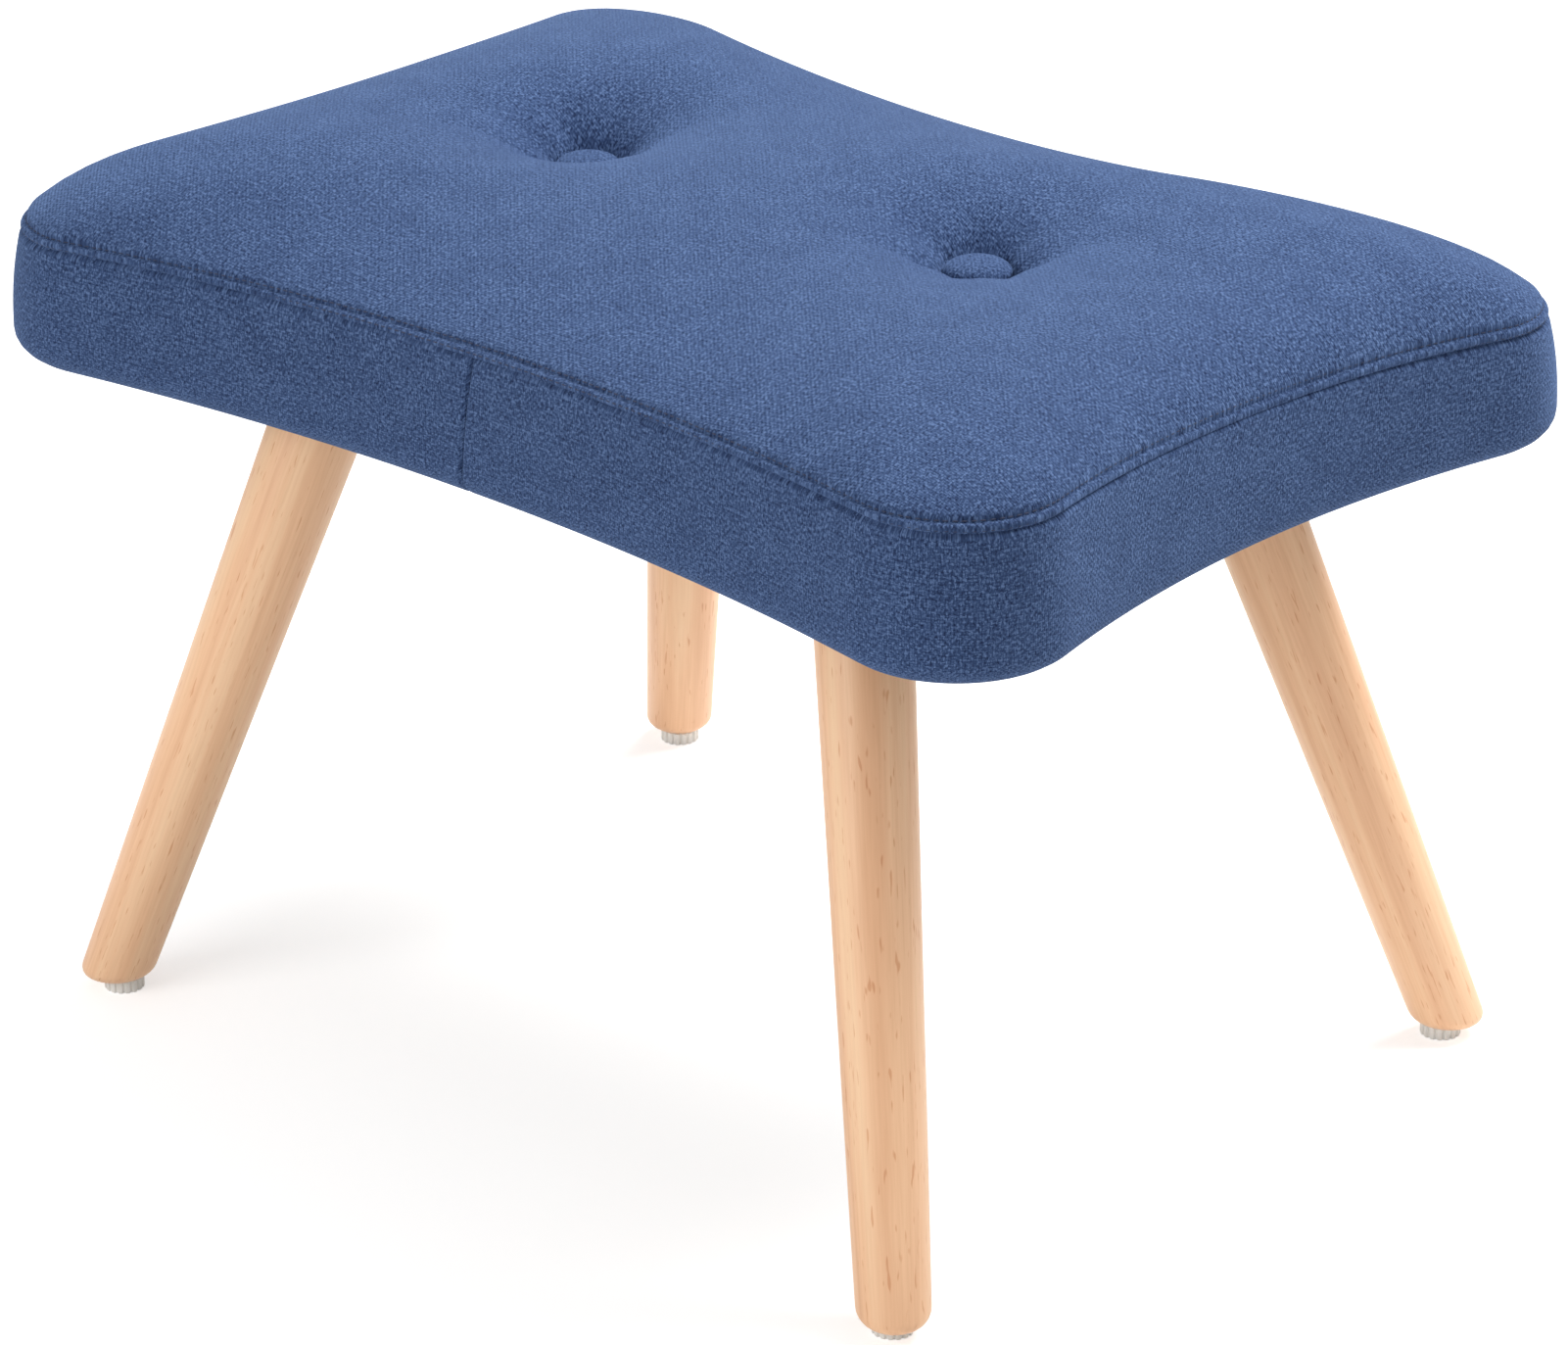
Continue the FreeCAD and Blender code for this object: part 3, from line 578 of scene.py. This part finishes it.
# Stitches: navy polyester thread, one row through the topstitched welt and one that closes the
# seam. Each stitch is a short lens of thread lying in its dimple.
STITCH_PITCH = 0.0036
STITCH_LENGTH = 0.0027
THREAD_WIDTH = 0.00062
SEAM_STITCH_PLACE = 0.0012
LINE_COUNT = 3000
LINE_STEP = 0.0004
STITCH_BATCH = 25
thread, thread_tree, thread_shader = new_material("navy_thread", 0.7)
thread_place = thread_tree.nodes.new("ShaderNodeTexCoord").outputs["Object"]
thread_twist = stretched_noise(thread_tree, thread_place, (1800.0, 1800.0, 1800.0), 1.0)
thread_colour = ramp(thread_tree, thread_twist,
                     [(0.3, (0.010, 0.016, 0.045)), (0.7, (0.022, 0.034, 0.085))])
thread_tree.links.new(thread_colour, thread_shader.inputs["Base Color"])


# A line round the panel at one distance from the seam, with its directions along and outwards
def panel_line(distance, sink):
    side, along = run_place(np.arange(LINE_COUNT) * perimeter / LINE_COUNT)
    place, above = [
        np.stack(crown_place(side, along, shares_at(side, along, np.full(LINE_COUNT, reach))), axis=1)
        for reach in (distance, distance + LINE_STEP)
    ]
    tangent = np.roll(place, -1, axis=0) - place
    normal = np.cross(tangent, above - place)
    normal /= np.linalg.norm(normal, axis=1)[:, None]
    place = place + normal * (seam_relief(np.array([distance]))[0] + sink)
    return place, tangent, normal


def stitch_row(shape, distance, sink, start):
    place, tangent, normal = panel_line(distance, sink)
    runs = np.linalg.norm(tangent, axis=1).cumsum()
    count = int(runs[-1] / STITCH_PITCH)
    batch_mesh = bpy.data.meshes.new("stitch_batch")
    for first in range(0, count, STITCH_BATCH):
        batch = bmesh.new()
        for number in range(first, min(first + STITCH_BATCH, count)):
            index = int(np.searchsorted(runs, (number + start) * runs[-1] / count)) % len(place)
            along = Vector(tangent[index]).normalized()
            up = Vector(normal[index])
            turn = Matrix((along, up.cross(along), up)).transposed().to_4x4()
            size = Matrix.Diagonal((STITCH_LENGTH / 2, THREAD_WIDTH / 2, THREAD_WIDTH * 0.4, 1))
            matrix = Matrix.Translation(Vector(place[index])) @ turn @ size
            bmesh.ops.create_uvsphere(batch, u_segments=6, v_segments=5, radius=1, matrix=matrix)
        batch.to_mesh(batch_mesh)
        batch.free()
        shape.from_mesh(batch_mesh)
    bpy.data.meshes.remove(batch_mesh)


stitch_shape = bmesh.new()
stitch_row(stitch_shape, TOPSTITCH_PLACE, 0.00005, 0.0)
stitch_row(stitch_shape, SEAM_STITCH_PLACE, -0.00005, 0.5)
stitches = new_piece("cover_stitches", stitch_shape, thread)

# Tuft buttons: domed metal buttons covered in the seat's cloth. Each sits deep in its tuft,
# held by a twine that runs down through foam and board.
BUTTON_RADIUS = 0.0140
BUTTON_HEIGHT = 0.0068
BUTTON_RIM = 0.0014
BUTTON_UNDERCUT = 0.0016
BUTTON_FULLNESS = 0.75
BUTTON_PROFILE_STEPS = 10
BUTTON_STRETCH = 1.03
for name, (tuft_x, tuft_y) in TUFT_PLACES.items():
    dome = bmesh.new()
    corners = [(0.0, 0.0), (BUTTON_RADIUS - BUTTON_UNDERCUT, 0.0)]
    for step in range(BUTTON_PROFILE_STEPS):
        angle = math.pi / 2 * step / BUTTON_PROFILE_STEPS
        out = BUTTON_RADIUS * math.cos(angle) ** BUTTON_FULLNESS
        corners.append((out, BUTTON_RIM + (BUTTON_HEIGHT - BUTTON_RIM) * math.sin(angle)))
    corners.append((0.0, BUTTON_HEIGHT))
    profile = [dome.verts.new((out, 0, height)) for out, height in corners]
    for first, second in zip(profile, profile[1:]):
        dome.edges.new((first, second))
    bmesh.ops.spin(dome, geom=dome.verts[:] + dome.edges[:], cent=(0, 0, 0), axis=(0, 0, 1),
                   angle=2 * math.pi, steps=64, use_merge=True)
    bmesh.ops.remove_doubles(dome, verts=dome.verts, dist=0.00001)
    bmesh.ops.recalc_face_normals(dome, faces=dome.faces)
    bmesh.ops.translate(dome, verts=dome.verts, vec=(tuft_x, tuft_y, TUFT_FLOORS[name]))
    add_weave_map(dome, lambda loop: (loop.vert.co.x * BUTTON_STRETCH, loop.vert.co.y * BUTTON_STRETCH))
    button = new_piece("covered_button_" + name, dome, cloth)
    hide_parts("tuft_button_" + name)

# Twines and toggles: waxed twine from each button down to a moulded toggle in a recess under
# the board. Both are hidden once the lining is on.
twine_stuff, twine_tree, twine_shader = new_material("waxed_twine", 0.75)
twine_place = twine_tree.nodes.new("ShaderNodeTexCoord").outputs["Object"]
twine_lay = node_at(twine_tree, "ShaderNodeTexWave", Scale=300.0, Distortion=1.5)
twine_lay.bands_direction = "DIAGONAL"
twine_tree.links.new(twine_place, twine_lay.inputs["Vector"])
twine_colour = ramp(twine_tree, twine_lay.outputs["Fac"],
                    [(0.2, (0.50, 0.45, 0.36)), (0.8, (0.74, 0.70, 0.60))])
twine_tree.links.new(twine_colour, twine_shader.inputs["Base Color"])
bump(twine_tree, twine_shader, twine_lay.outputs["Fac"], strength=0.6, distance=0.0002)

# Moulded and coated parts share a fine speckle: Tint varies their shade, Height their relief
speckle, speckle_in, speckle_out = new_group(
    "surface_speckle",
    [("Vector", "NodeSocketVector", None), ("Scale", "NodeSocketFloat", 1500.0)],
    [("Tint", "NodeSocketFloat"), ("Height", "NodeSocketFloat")],
)
speckle_fine = node_at(speckle, "ShaderNodeTexNoise", Detail=3.0, Roughness=0.6)
speckle_broad = node_at(speckle, "ShaderNodeTexNoise", Scale=90.0, Detail=2.0)
speckle.links.new(speckle_in.outputs["Vector"], speckle_fine.inputs["Vector"])
speckle.links.new(speckle_in.outputs["Scale"], speckle_fine.inputs["Scale"])
speckle.links.new(speckle_in.outputs["Vector"], speckle_broad.inputs["Vector"])
speckle_sum = weighted_sum(speckle, [(speckle_fine.outputs["Fac"], 0.5), (speckle_broad.outputs["Fac"], 0.5)])
speckle.links.new(speckle_sum, speckle_out.inputs["Tint"])
speckle.links.new(speckle_fine.outputs["Fac"], speckle_out.inputs["Height"])


def speckled_material(name, dark, pale, roughness, metallic, scale, strength, distance):
    material, tree, shader = new_material(name, roughness)
    shader.inputs["Metallic"].default_value = metallic
    place = tree.nodes.new("ShaderNodeTexCoord").outputs["Object"]
    grain = placed_group(tree, speckle, Scale=scale)
    tree.links.new(place, grain.inputs["Vector"])
    colour = ramp(tree, grain.outputs["Tint"], [(0.38, dark), (0.62, pale)])
    tree.links.new(colour, shader.inputs["Base Color"])
    bump(tree, shader, grain.outputs["Height"], strength, distance)
    return material


toggle_plastic = speckled_material(
    "toggle_plastic", dark=(0.50, 0.49, 0.45), pale=(0.60, 0.59, 0.55), roughness=0.5, metallic=0.0,
    scale=2200.0, strength=0.2, distance=0.0001)


def dress(node, material):
    cad[node].data.materials.clear()
    cad[node].data.materials.append(material)


TWINE_RADIUS = 0.0008
for name, (tuft_x, tuft_y) in TUFT_PLACES.items():
    toggle_low, toggle_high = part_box("twine_toggle_" + name)
    knot = Vector(((toggle_low.x + toggle_high.x) / 2, (toggle_low.y + toggle_high.y) / 2, toggle_high.z))
    pull = Vector((tuft_x, tuft_y, TUFT_FLOORS[name])) - knot
    lay = Matrix.Translation(knot + pull / 2) @ pull.to_track_quat("Z", "Y").to_matrix().to_4x4()
    twine_shape = bmesh.new()
    bmesh.ops.create_cone(twine_shape, cap_ends=True, segments=12, radius1=TWINE_RADIUS,
                          radius2=TWINE_RADIUS, depth=pull.length, matrix=lay)
    twine = new_piece("waxed_twine_" + name, twine_shape, twine_stuff)
    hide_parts("tuft_twine_" + name)
    dress("twine_toggle_" + name, toggle_plastic)

# Seat board: 15 mm plywood cut to the seat's outline. The faces show knife-cut grain along the
# seat and the edge shows the plies.
# One turn of the plies' wave for every two sheets of veneer, 3 mm
PLY_TURN = 2094.0
plywood, plywood_tree, plywood_shader = new_material("plywood", 0.7)
plywood_place = plywood_tree.nodes.new("ShaderNodeTexCoord").outputs["Object"]
plywood_grain = stretched_noise(plywood_tree, plywood_place, (8.0, 160.0, 30.0), detail=5.0, roughness=0.6)
plywood_axes = plywood_tree.nodes.new("ShaderNodeSeparateXYZ")
plywood_tree.links.new(plywood_place, plywood_axes.inputs[0])
plywood_turns = maths(plywood_tree, "MULTIPLY", plywood_axes.outputs["Z"], PLY_TURN)
plywood_plies = maths(plywood_tree, "SINE", plywood_turns)
plywood_mix = maths(plywood_tree, "ADD", plywood_grain, maths(plywood_tree, "MULTIPLY", plywood_plies, 0.08))
plywood_colour = ramp(plywood_tree, plywood_mix, [(0.30, (0.36, 0.23, 0.12)), (0.70, (0.62, 0.45, 0.27))])
plywood_tree.links.new(plywood_colour, plywood_shader.inputs["Base Color"])
bump(plywood_tree, plywood_shader, plywood_grain, strength=0.25, distance=0.0003)
dress("seat_board", plywood)

# Dust cover: thin black spunbonded lining stapled over the hem, with the pinpoint bonds that
# such lining has.
lining, lining_tree, lining_shader = new_material("black_lining", 0.9)
lining_place = lining_tree.nodes.new("ShaderNodeTexCoord").outputs["Object"]
lining_bonds = node_at(lining_tree, "ShaderNodeTexVoronoi", Scale=700.0, Randomness=0.25)
lining_tree.links.new(lining_place, lining_bonds.inputs["Vector"])
lining_fibres = stretched_noise(lining_tree, lining_place, (1400.0, 1400.0, 1400.0), 3.0)
lining_mix = maths(lining_tree, "MULTIPLY", lining_bonds.outputs["Distance"], lining_fibres)
lining_colour = ramp(lining_tree, lining_mix, [(0.0, (0.012, 0.012, 0.014)), (0.5, (0.042, 0.042, 0.046))])
lining_tree.links.new(lining_colour, lining_shader.inputs["Base Color"])
bump(lining_tree, lining_shader, lining_mix, strength=0.4, distance=0.0004)
dress("dust_cover", lining)

# Staples: galvanised wire, driven into the board in two rings, one through the hem of the bands
# and one through the lining.
staple_wire = speckled_material(
    "staple_wire", dark=(0.50, 0.50, 0.51), pale=(0.66, 0.66, 0.67), roughness=0.38, metallic=1.0,
    scale=3000.0, strength=0.15, distance=0.00005)
dress("hem_staples", staple_wire)
dress("dust_cover_staples", staple_wire)

# Leg plates: die-cast plates with an angled boss, coated in black powder, each held by four
# zinc-plated wood screws. A hanger bolt joins boss and leg.
plate_coat = speckled_material(
    "black_powder_coat", dark=(0.018, 0.018, 0.020), pale=(0.030, 0.030, 0.033), roughness=0.5, metallic=0.0,
    scale=1400.0, strength=0.35, distance=0.0002)
zinc_steel = speckled_material(
    "zinc_plated_steel", dark=(0.52, 0.54, 0.57), pale=(0.68, 0.69, 0.71), roughness=0.32, metallic=1.0,
    scale=2600.0, strength=0.1, distance=0.00005)
dress("plate_screws", zinc_steel)
dress("hanger_bolts", zinc_steel)

# Legs: beech turned to a straight taper, sanded, and sealed with a thin satin varnish. The top
# is square to the axis with a small bevel; the foot is cut level, rounded and bored.
CORNERS = {"front_left": (-1, -1), "front_right": (1, -1), "back_right": (1, 1), "back_left": (-1, 1)}
LEG_TILT = math.radians(20.54)
LEG_HEADING = math.radians(40.74)
FOOT_X = 0.2293
FOOT_Y = 0.1783
FOOT_RADIUS = 0.0149
TOP_RADIUS = 0.0203
LEG_LENGTH = 0.2988
TOP_BEVEL = 0.001
END_HEIGHT = 0.006
END_ROUND = 0.006
GLIDE_INSET = 0.00595
BORE_RADIUS = 0.0030
BORE_DEPTH = 0.0258
LEG_SEGMENTS = 96
TOUCHING = 0.0001
# Moves each leg's grain to another part of the wood
GRAIN_STEP = (0.11, 0.05, 0.37)

beech, beech_tree, beech_shader = new_material("varnished_beech", 0.42)
beech_grain_place = beech_tree.nodes.new("ShaderNodeAttribute")
beech_grain_place.attribute_name = "grain"
beech_vector = beech_grain_place.outputs["Vector"]
beech_rings = stretched_noise(beech_tree, beech_vector, (150.0, 55.0, 3.2), detail=3.0, roughness=0.55)
beech_fibre = stretched_noise(beech_tree, beech_vector, (900.0, 900.0, 22.0), detail=3.0, roughness=0.6)
beech_flecks = stretched_noise(beech_tree, beech_vector, (1100.0, 420.0, 95.0), detail=1.0)
beech_base = ramp(beech_tree, beech_rings, [(0.32, (0.82, 0.47, 0.27)), (0.50, (0.91, 0.56, 0.335)),
                                            (0.68, (0.95, 0.63, 0.39))])
beech_fibre_colour = ramp(beech_tree, beech_fibre, [(0.30, (0.93, 0.90, 0.87)), (0.60, (1.0, 1.0, 1.0))])
beech_fleck_colour = ramp(beech_tree, beech_flecks, [(0.27, (0.80, 0.62, 0.52)), (0.34, (1.0, 1.0, 1.0))])


def multiplied(tree, first, second, factor):
    node = tree.nodes.new("ShaderNodeMix")
    node.data_type = "RGBA"
    node.blend_type = "MULTIPLY"
    node.inputs["Factor"].default_value = factor
    tree.links.new(first, node.inputs["A"])
    tree.links.new(second, node.inputs["B"])
    return node.outputs["Result"]


beech_colour = multiplied(beech_tree, beech_base, beech_fibre_colour, 0.8)
beech_colour = multiplied(beech_tree, beech_colour, beech_fleck_colour, 0.8)
beech_tree.links.new(beech_colour, beech_shader.inputs["Base Color"])
beech_shader.inputs["Specular IOR Level"].default_value = 0.4
bump(beech_tree, beech_shader, beech_fibre, strength=0.12, distance=0.0002)


# Takes the leg's own frame, with its axis on z from the floor, to its place under the seat
def leg_matrix(hands):
    hand_x, hand_y = hands
    heading = math.atan2(hand_y * math.sin(LEG_HEADING), hand_x * math.cos(LEG_HEADING))
    foot = Matrix.Translation((hand_x * FOOT_X, hand_y * FOOT_Y, 0)) @ Matrix.Rotation(heading, 4, "Z")
    return foot @ Matrix.Rotation(-LEG_TILT, 4, "Y")


def edges_where(shape, keep):
    return [edge for edge in shape.edges if all(keep(vertex.co) for vertex in edge.verts)]


for number, (corner, hands) in enumerate(CORNERS.items()):
    leg = bmesh.new()
    bmesh.ops.create_cone(leg, cap_ends=True, segments=LEG_SEGMENTS, radius1=FOOT_RADIUS,
                          radius2=TOP_RADIUS, depth=LEG_LENGTH,
                          matrix=Matrix.Translation((0, 0, LEG_LENGTH / 2)))
    level = Matrix.Rotation(LEG_TILT, 4, "Y")
    upright = level @ Vector((0, 0, 1))
    bmesh.ops.bisect_plane(leg, geom=leg.verts[:] + leg.edges[:] + leg.faces[:],
                           plane_co=upright * END_HEIGHT, plane_no=upright, clear_inner=True)
    bmesh.ops.contextual_create(leg, geom=[edge for edge in leg.edges if edge.is_boundary])
    top_edges = edges_where(leg, lambda place: place.z > LEG_LENGTH - TOUCHING)
    bmesh.ops.bevel(leg, geom=top_edges, offset=TOP_BEVEL, segments=2, profile=0.5, material=-1,
                    affect="EDGES")
    end_edges = edges_where(leg, lambda place: place.dot(upright) < END_HEIGHT + TOUCHING)
    bmesh.ops.bevel(leg, geom=end_edges, offset=END_ROUND, segments=6, profile=0.5, material=-1,
                    affect="EDGES")
    end_face = min(leg.faces, key=lambda face: face.calc_center_median().dot(upright))
    rim = end_face.edges[:]
    bmesh.ops.delete(leg, geom=[end_face], context="FACES_ONLY")
    bore_matrix = Matrix.Translation(level @ Vector((-GLIDE_INSET, 0, END_HEIGHT))) @ level
    bmesh.ops.create_circle(leg, cap_ends=False, segments=32, radius=BORE_RADIUS, matrix=bore_matrix)
    bore_edges = [edge for edge in leg.edges if edge.is_wire]
    bmesh.ops.bridge_loops(leg, edges=rim + bore_edges)
    deep = bmesh.ops.extrude_edge_only(leg, edges=bore_edges)["geom"]
    deep_verts = [item for item in deep if isinstance(item, bmesh.types.BMVert)]
    bmesh.ops.translate(leg, verts=deep_verts, vec=upright * BORE_DEPTH)
    deep_rim = [item for item in deep if isinstance(item, bmesh.types.BMEdge) and item.is_boundary]
    bmesh.ops.contextual_create(leg, geom=deep_rim)
    bmesh.ops.recalc_face_normals(leg, faces=leg.faces)
    grain = leg.verts.layers.float_vector.new("grain")
    for vertex in leg.verts:
        vertex[grain] = vertex.co + Vector([step * number for step in GRAIN_STEP])
    bmesh.ops.transform(leg, matrix=leg_matrix(hands), verts=leg.verts)
    leg_piece = new_piece("beech_leg_" + corner, leg, beech)
    for polygon in leg_piece.data.polygons:
        polygon.use_smooth = polygon.area < 0.0001 or len(polygon.vertices) == 4
    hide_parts("leg_" + corner)
    dress("leg_plate_" + corner, plate_coat)
    dress("glide_stud_" + corner, zinc_steel)

# Levelling glides: a pale grey moulded pad with a ribbed rim to turn it by, fixed on a steel
# stud that screws up into the leg.
GLIDE_RADIUS = 0.0087
GLIDE_THICKNESS = 0.0058
GLIDE_BEVEL = 0.0005
RIB_COUNT = 16
RIB_STEPS = 6
RIB_DEPTH = 0.0008
glide_plastic = speckled_material(
    "glide_plastic", dark=(0.78, 0.77, 0.73), pale=(0.88, 0.87, 0.83), roughness=0.45, metallic=0.0,
    scale=1600.0, strength=0.2, distance=0.0001)
for corner, (hand_x, hand_y) in CORNERS.items():
    glide = bmesh.new()
    bmesh.ops.create_cone(glide, cap_ends=True, segments=RIB_STEPS * RIB_COUNT, radius1=GLIDE_RADIUS,
                          radius2=GLIDE_RADIUS, depth=GLIDE_THICKNESS,
                          matrix=Matrix.Translation((0, 0, GLIDE_THICKNESS / 2)))
    groove_share = 1 - RIB_DEPTH / GLIDE_RADIUS
    for vertex in glide.verts:
        turn = math.atan2(vertex.co.y, vertex.co.x) / (2 * math.pi)
        if round(turn * RIB_STEPS * RIB_COUNT) % RIB_STEPS in (0, 1):
            vertex.co.x *= groove_share
            vertex.co.y *= groove_share
    caps = [edge for face in glide.faces if len(face.verts) > 4 for edge in face.edges]
    bmesh.ops.bevel(glide, geom=caps, offset=GLIDE_BEVEL, segments=2, profile=0.5, material=-1,
                    affect="EDGES")
    inward = Vector((hand_x * math.cos(LEG_HEADING), hand_y * math.sin(LEG_HEADING), 0)) * -GLIDE_INSET
    place = Vector((hand_x * FOOT_X, hand_y * FOOT_Y, 0)) + inward
    bmesh.ops.translate(glide, verts=glide.verts, vec=place)
    pad = new_piece("ribbed_glide_" + corner, glide, glide_plastic, "glide_" + corner)
    for polygon in pad.data.polygons:
        polygon.use_smooth = False
    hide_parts("glide_pad_" + corner)

# Floor: a plain pale studio floor that runs out to white and keeps the stool's shadow. It is
# clear from below, so that the underside can be looked at.
FLOOR_REACH = 30.0
FLOOR_GLOW = 0.50
floor_shape = bmesh.new()
bmesh.ops.create_grid(floor_shape, x_segments=1, y_segments=1, size=FLOOR_REACH)
floor_mesh = bpy.data.meshes.new("studio_floor")
floor_shape.to_mesh(floor_mesh)
floor_shape.free()
floor = bpy.data.objects.new("studio_floor", floor_mesh)
scene.collection.objects.link(floor)


# 1 for the rays that look at the background: straight, mirrored or through something clear
def background_seen(tree):
    rays = tree.nodes.new("ShaderNodeLightPath")
    mirrored = maths(tree, "MAXIMUM", rays.outputs["Is Glossy Ray"], rays.outputs["Is Transmission Ray"])
    return maths(tree, "MAXIMUM", rays.outputs["Is Camera Ray"], mirrored)


floor_paint, floor_tree, floor_shader = new_material("pale_floor", 0.9)
floor_shader.inputs["Base Color"].default_value = (0.86, 0.86, 0.86, 1.0)
floor_shader.inputs["Specular IOR Level"].default_value = 0.0
floor_glow = node_at(floor_tree, "ShaderNodeEmission", Color=(1.0, 1.0, 1.0, 1.0))
floor_sum = floor_tree.nodes.new("ShaderNodeAddShader")
floor_strength = maths(floor_tree, "MULTIPLY", background_seen(floor_tree), FLOOR_GLOW)
floor_tree.links.new(floor_strength, floor_glow.inputs["Strength"])
floor_tree.links.new(floor_shader.outputs[0], floor_sum.inputs[0])
floor_tree.links.new(floor_glow.outputs[0], floor_sum.inputs[1])
floor_back = floor_tree.nodes.new("ShaderNodeNewGeometry").outputs["Backfacing"]
floor_clear = floor_tree.nodes.new("ShaderNodeBsdfTransparent")
floor_sides = floor_tree.nodes.new("ShaderNodeMixShader")
floor_tree.links.new(floor_back, floor_sides.inputs["Fac"])
floor_tree.links.new(floor_sum.outputs[0], floor_sides.inputs[1])
floor_tree.links.new(floor_clear.outputs[0], floor_sides.inputs[2])
floor_tree.links.new(floor_sides.outputs[0], floor_tree.nodes["Material Output"].inputs["Surface"])
floor_mesh.materials.append(floor_paint)

# Studio light: an even white surround, a large soft box over the back of the stool and a weaker
# one in front of it.
AMBIENT = 0.52
world = bpy.data.worlds.new("studio_surround")
scene.world = world
world.use_nodes = True
world_tree = world.node_tree
surround = world_tree.nodes["Background"]
surround.inputs["Color"].default_value = (1.0, 1.0, 1.0, 1.0)
world_extra = maths(world_tree, "MULTIPLY", background_seen(world_tree), 1.0 - AMBIENT)
world_tree.links.new(maths(world_tree, "ADD", world_extra, AMBIENT), surround.inputs["Strength"])


def soft_box(name, place, target, width, height, power):
    lamp = bpy.data.lights.new(name, "AREA")
    lamp.shape = "RECTANGLE"
    lamp.size = width
    lamp.size_y = height
    lamp.energy = power
    box = bpy.data.objects.new(name, lamp)
    box.location = place
    box.rotation_euler = (Vector(target) - Vector(place)).to_track_quat("-Z", "Y").to_euler()
    scene.collection.objects.link(box)


soft_box("overhead_box", (0.35, 1.1, 2.1), (0, 0, 0.3), 1.6, 1.2, 66.0)
soft_box("front_box", (-0.5, -2.4, 1.2), (0, 0, 0.25), 1.6, 1.2, 23.0)

# Camera: the photograph's own view, from above the front right corner, as solved from the seat,
# the legs and the glides.
CAMERA_PLACE = (1.81473, -1.93517, 1.34052)
CAMERA_HEADING = 43.077
CAMERA_DROP = 24.018
CAMERA_ROLL = -0.362
CAMERA_LENS = 158.2
camera_data = bpy.data.cameras.new("photo_camera")
camera_data.lens = CAMERA_LENS
camera_data.sensor_width = 36.0
camera = bpy.data.objects.new("photo_camera", camera_data)
camera_turn = (Matrix.Rotation(math.radians(CAMERA_HEADING), 4, "Z")
               @ Matrix.Rotation(math.radians(90 - CAMERA_DROP), 4, "X")
               @ Matrix.Rotation(math.radians(CAMERA_ROLL), 4, "Z"))
camera.matrix_world = Matrix.Translation(CAMERA_PLACE) @ camera_turn
scene.collection.objects.link(camera)
scene.camera = camera
scene.view_settings.view_transform = "Standard"
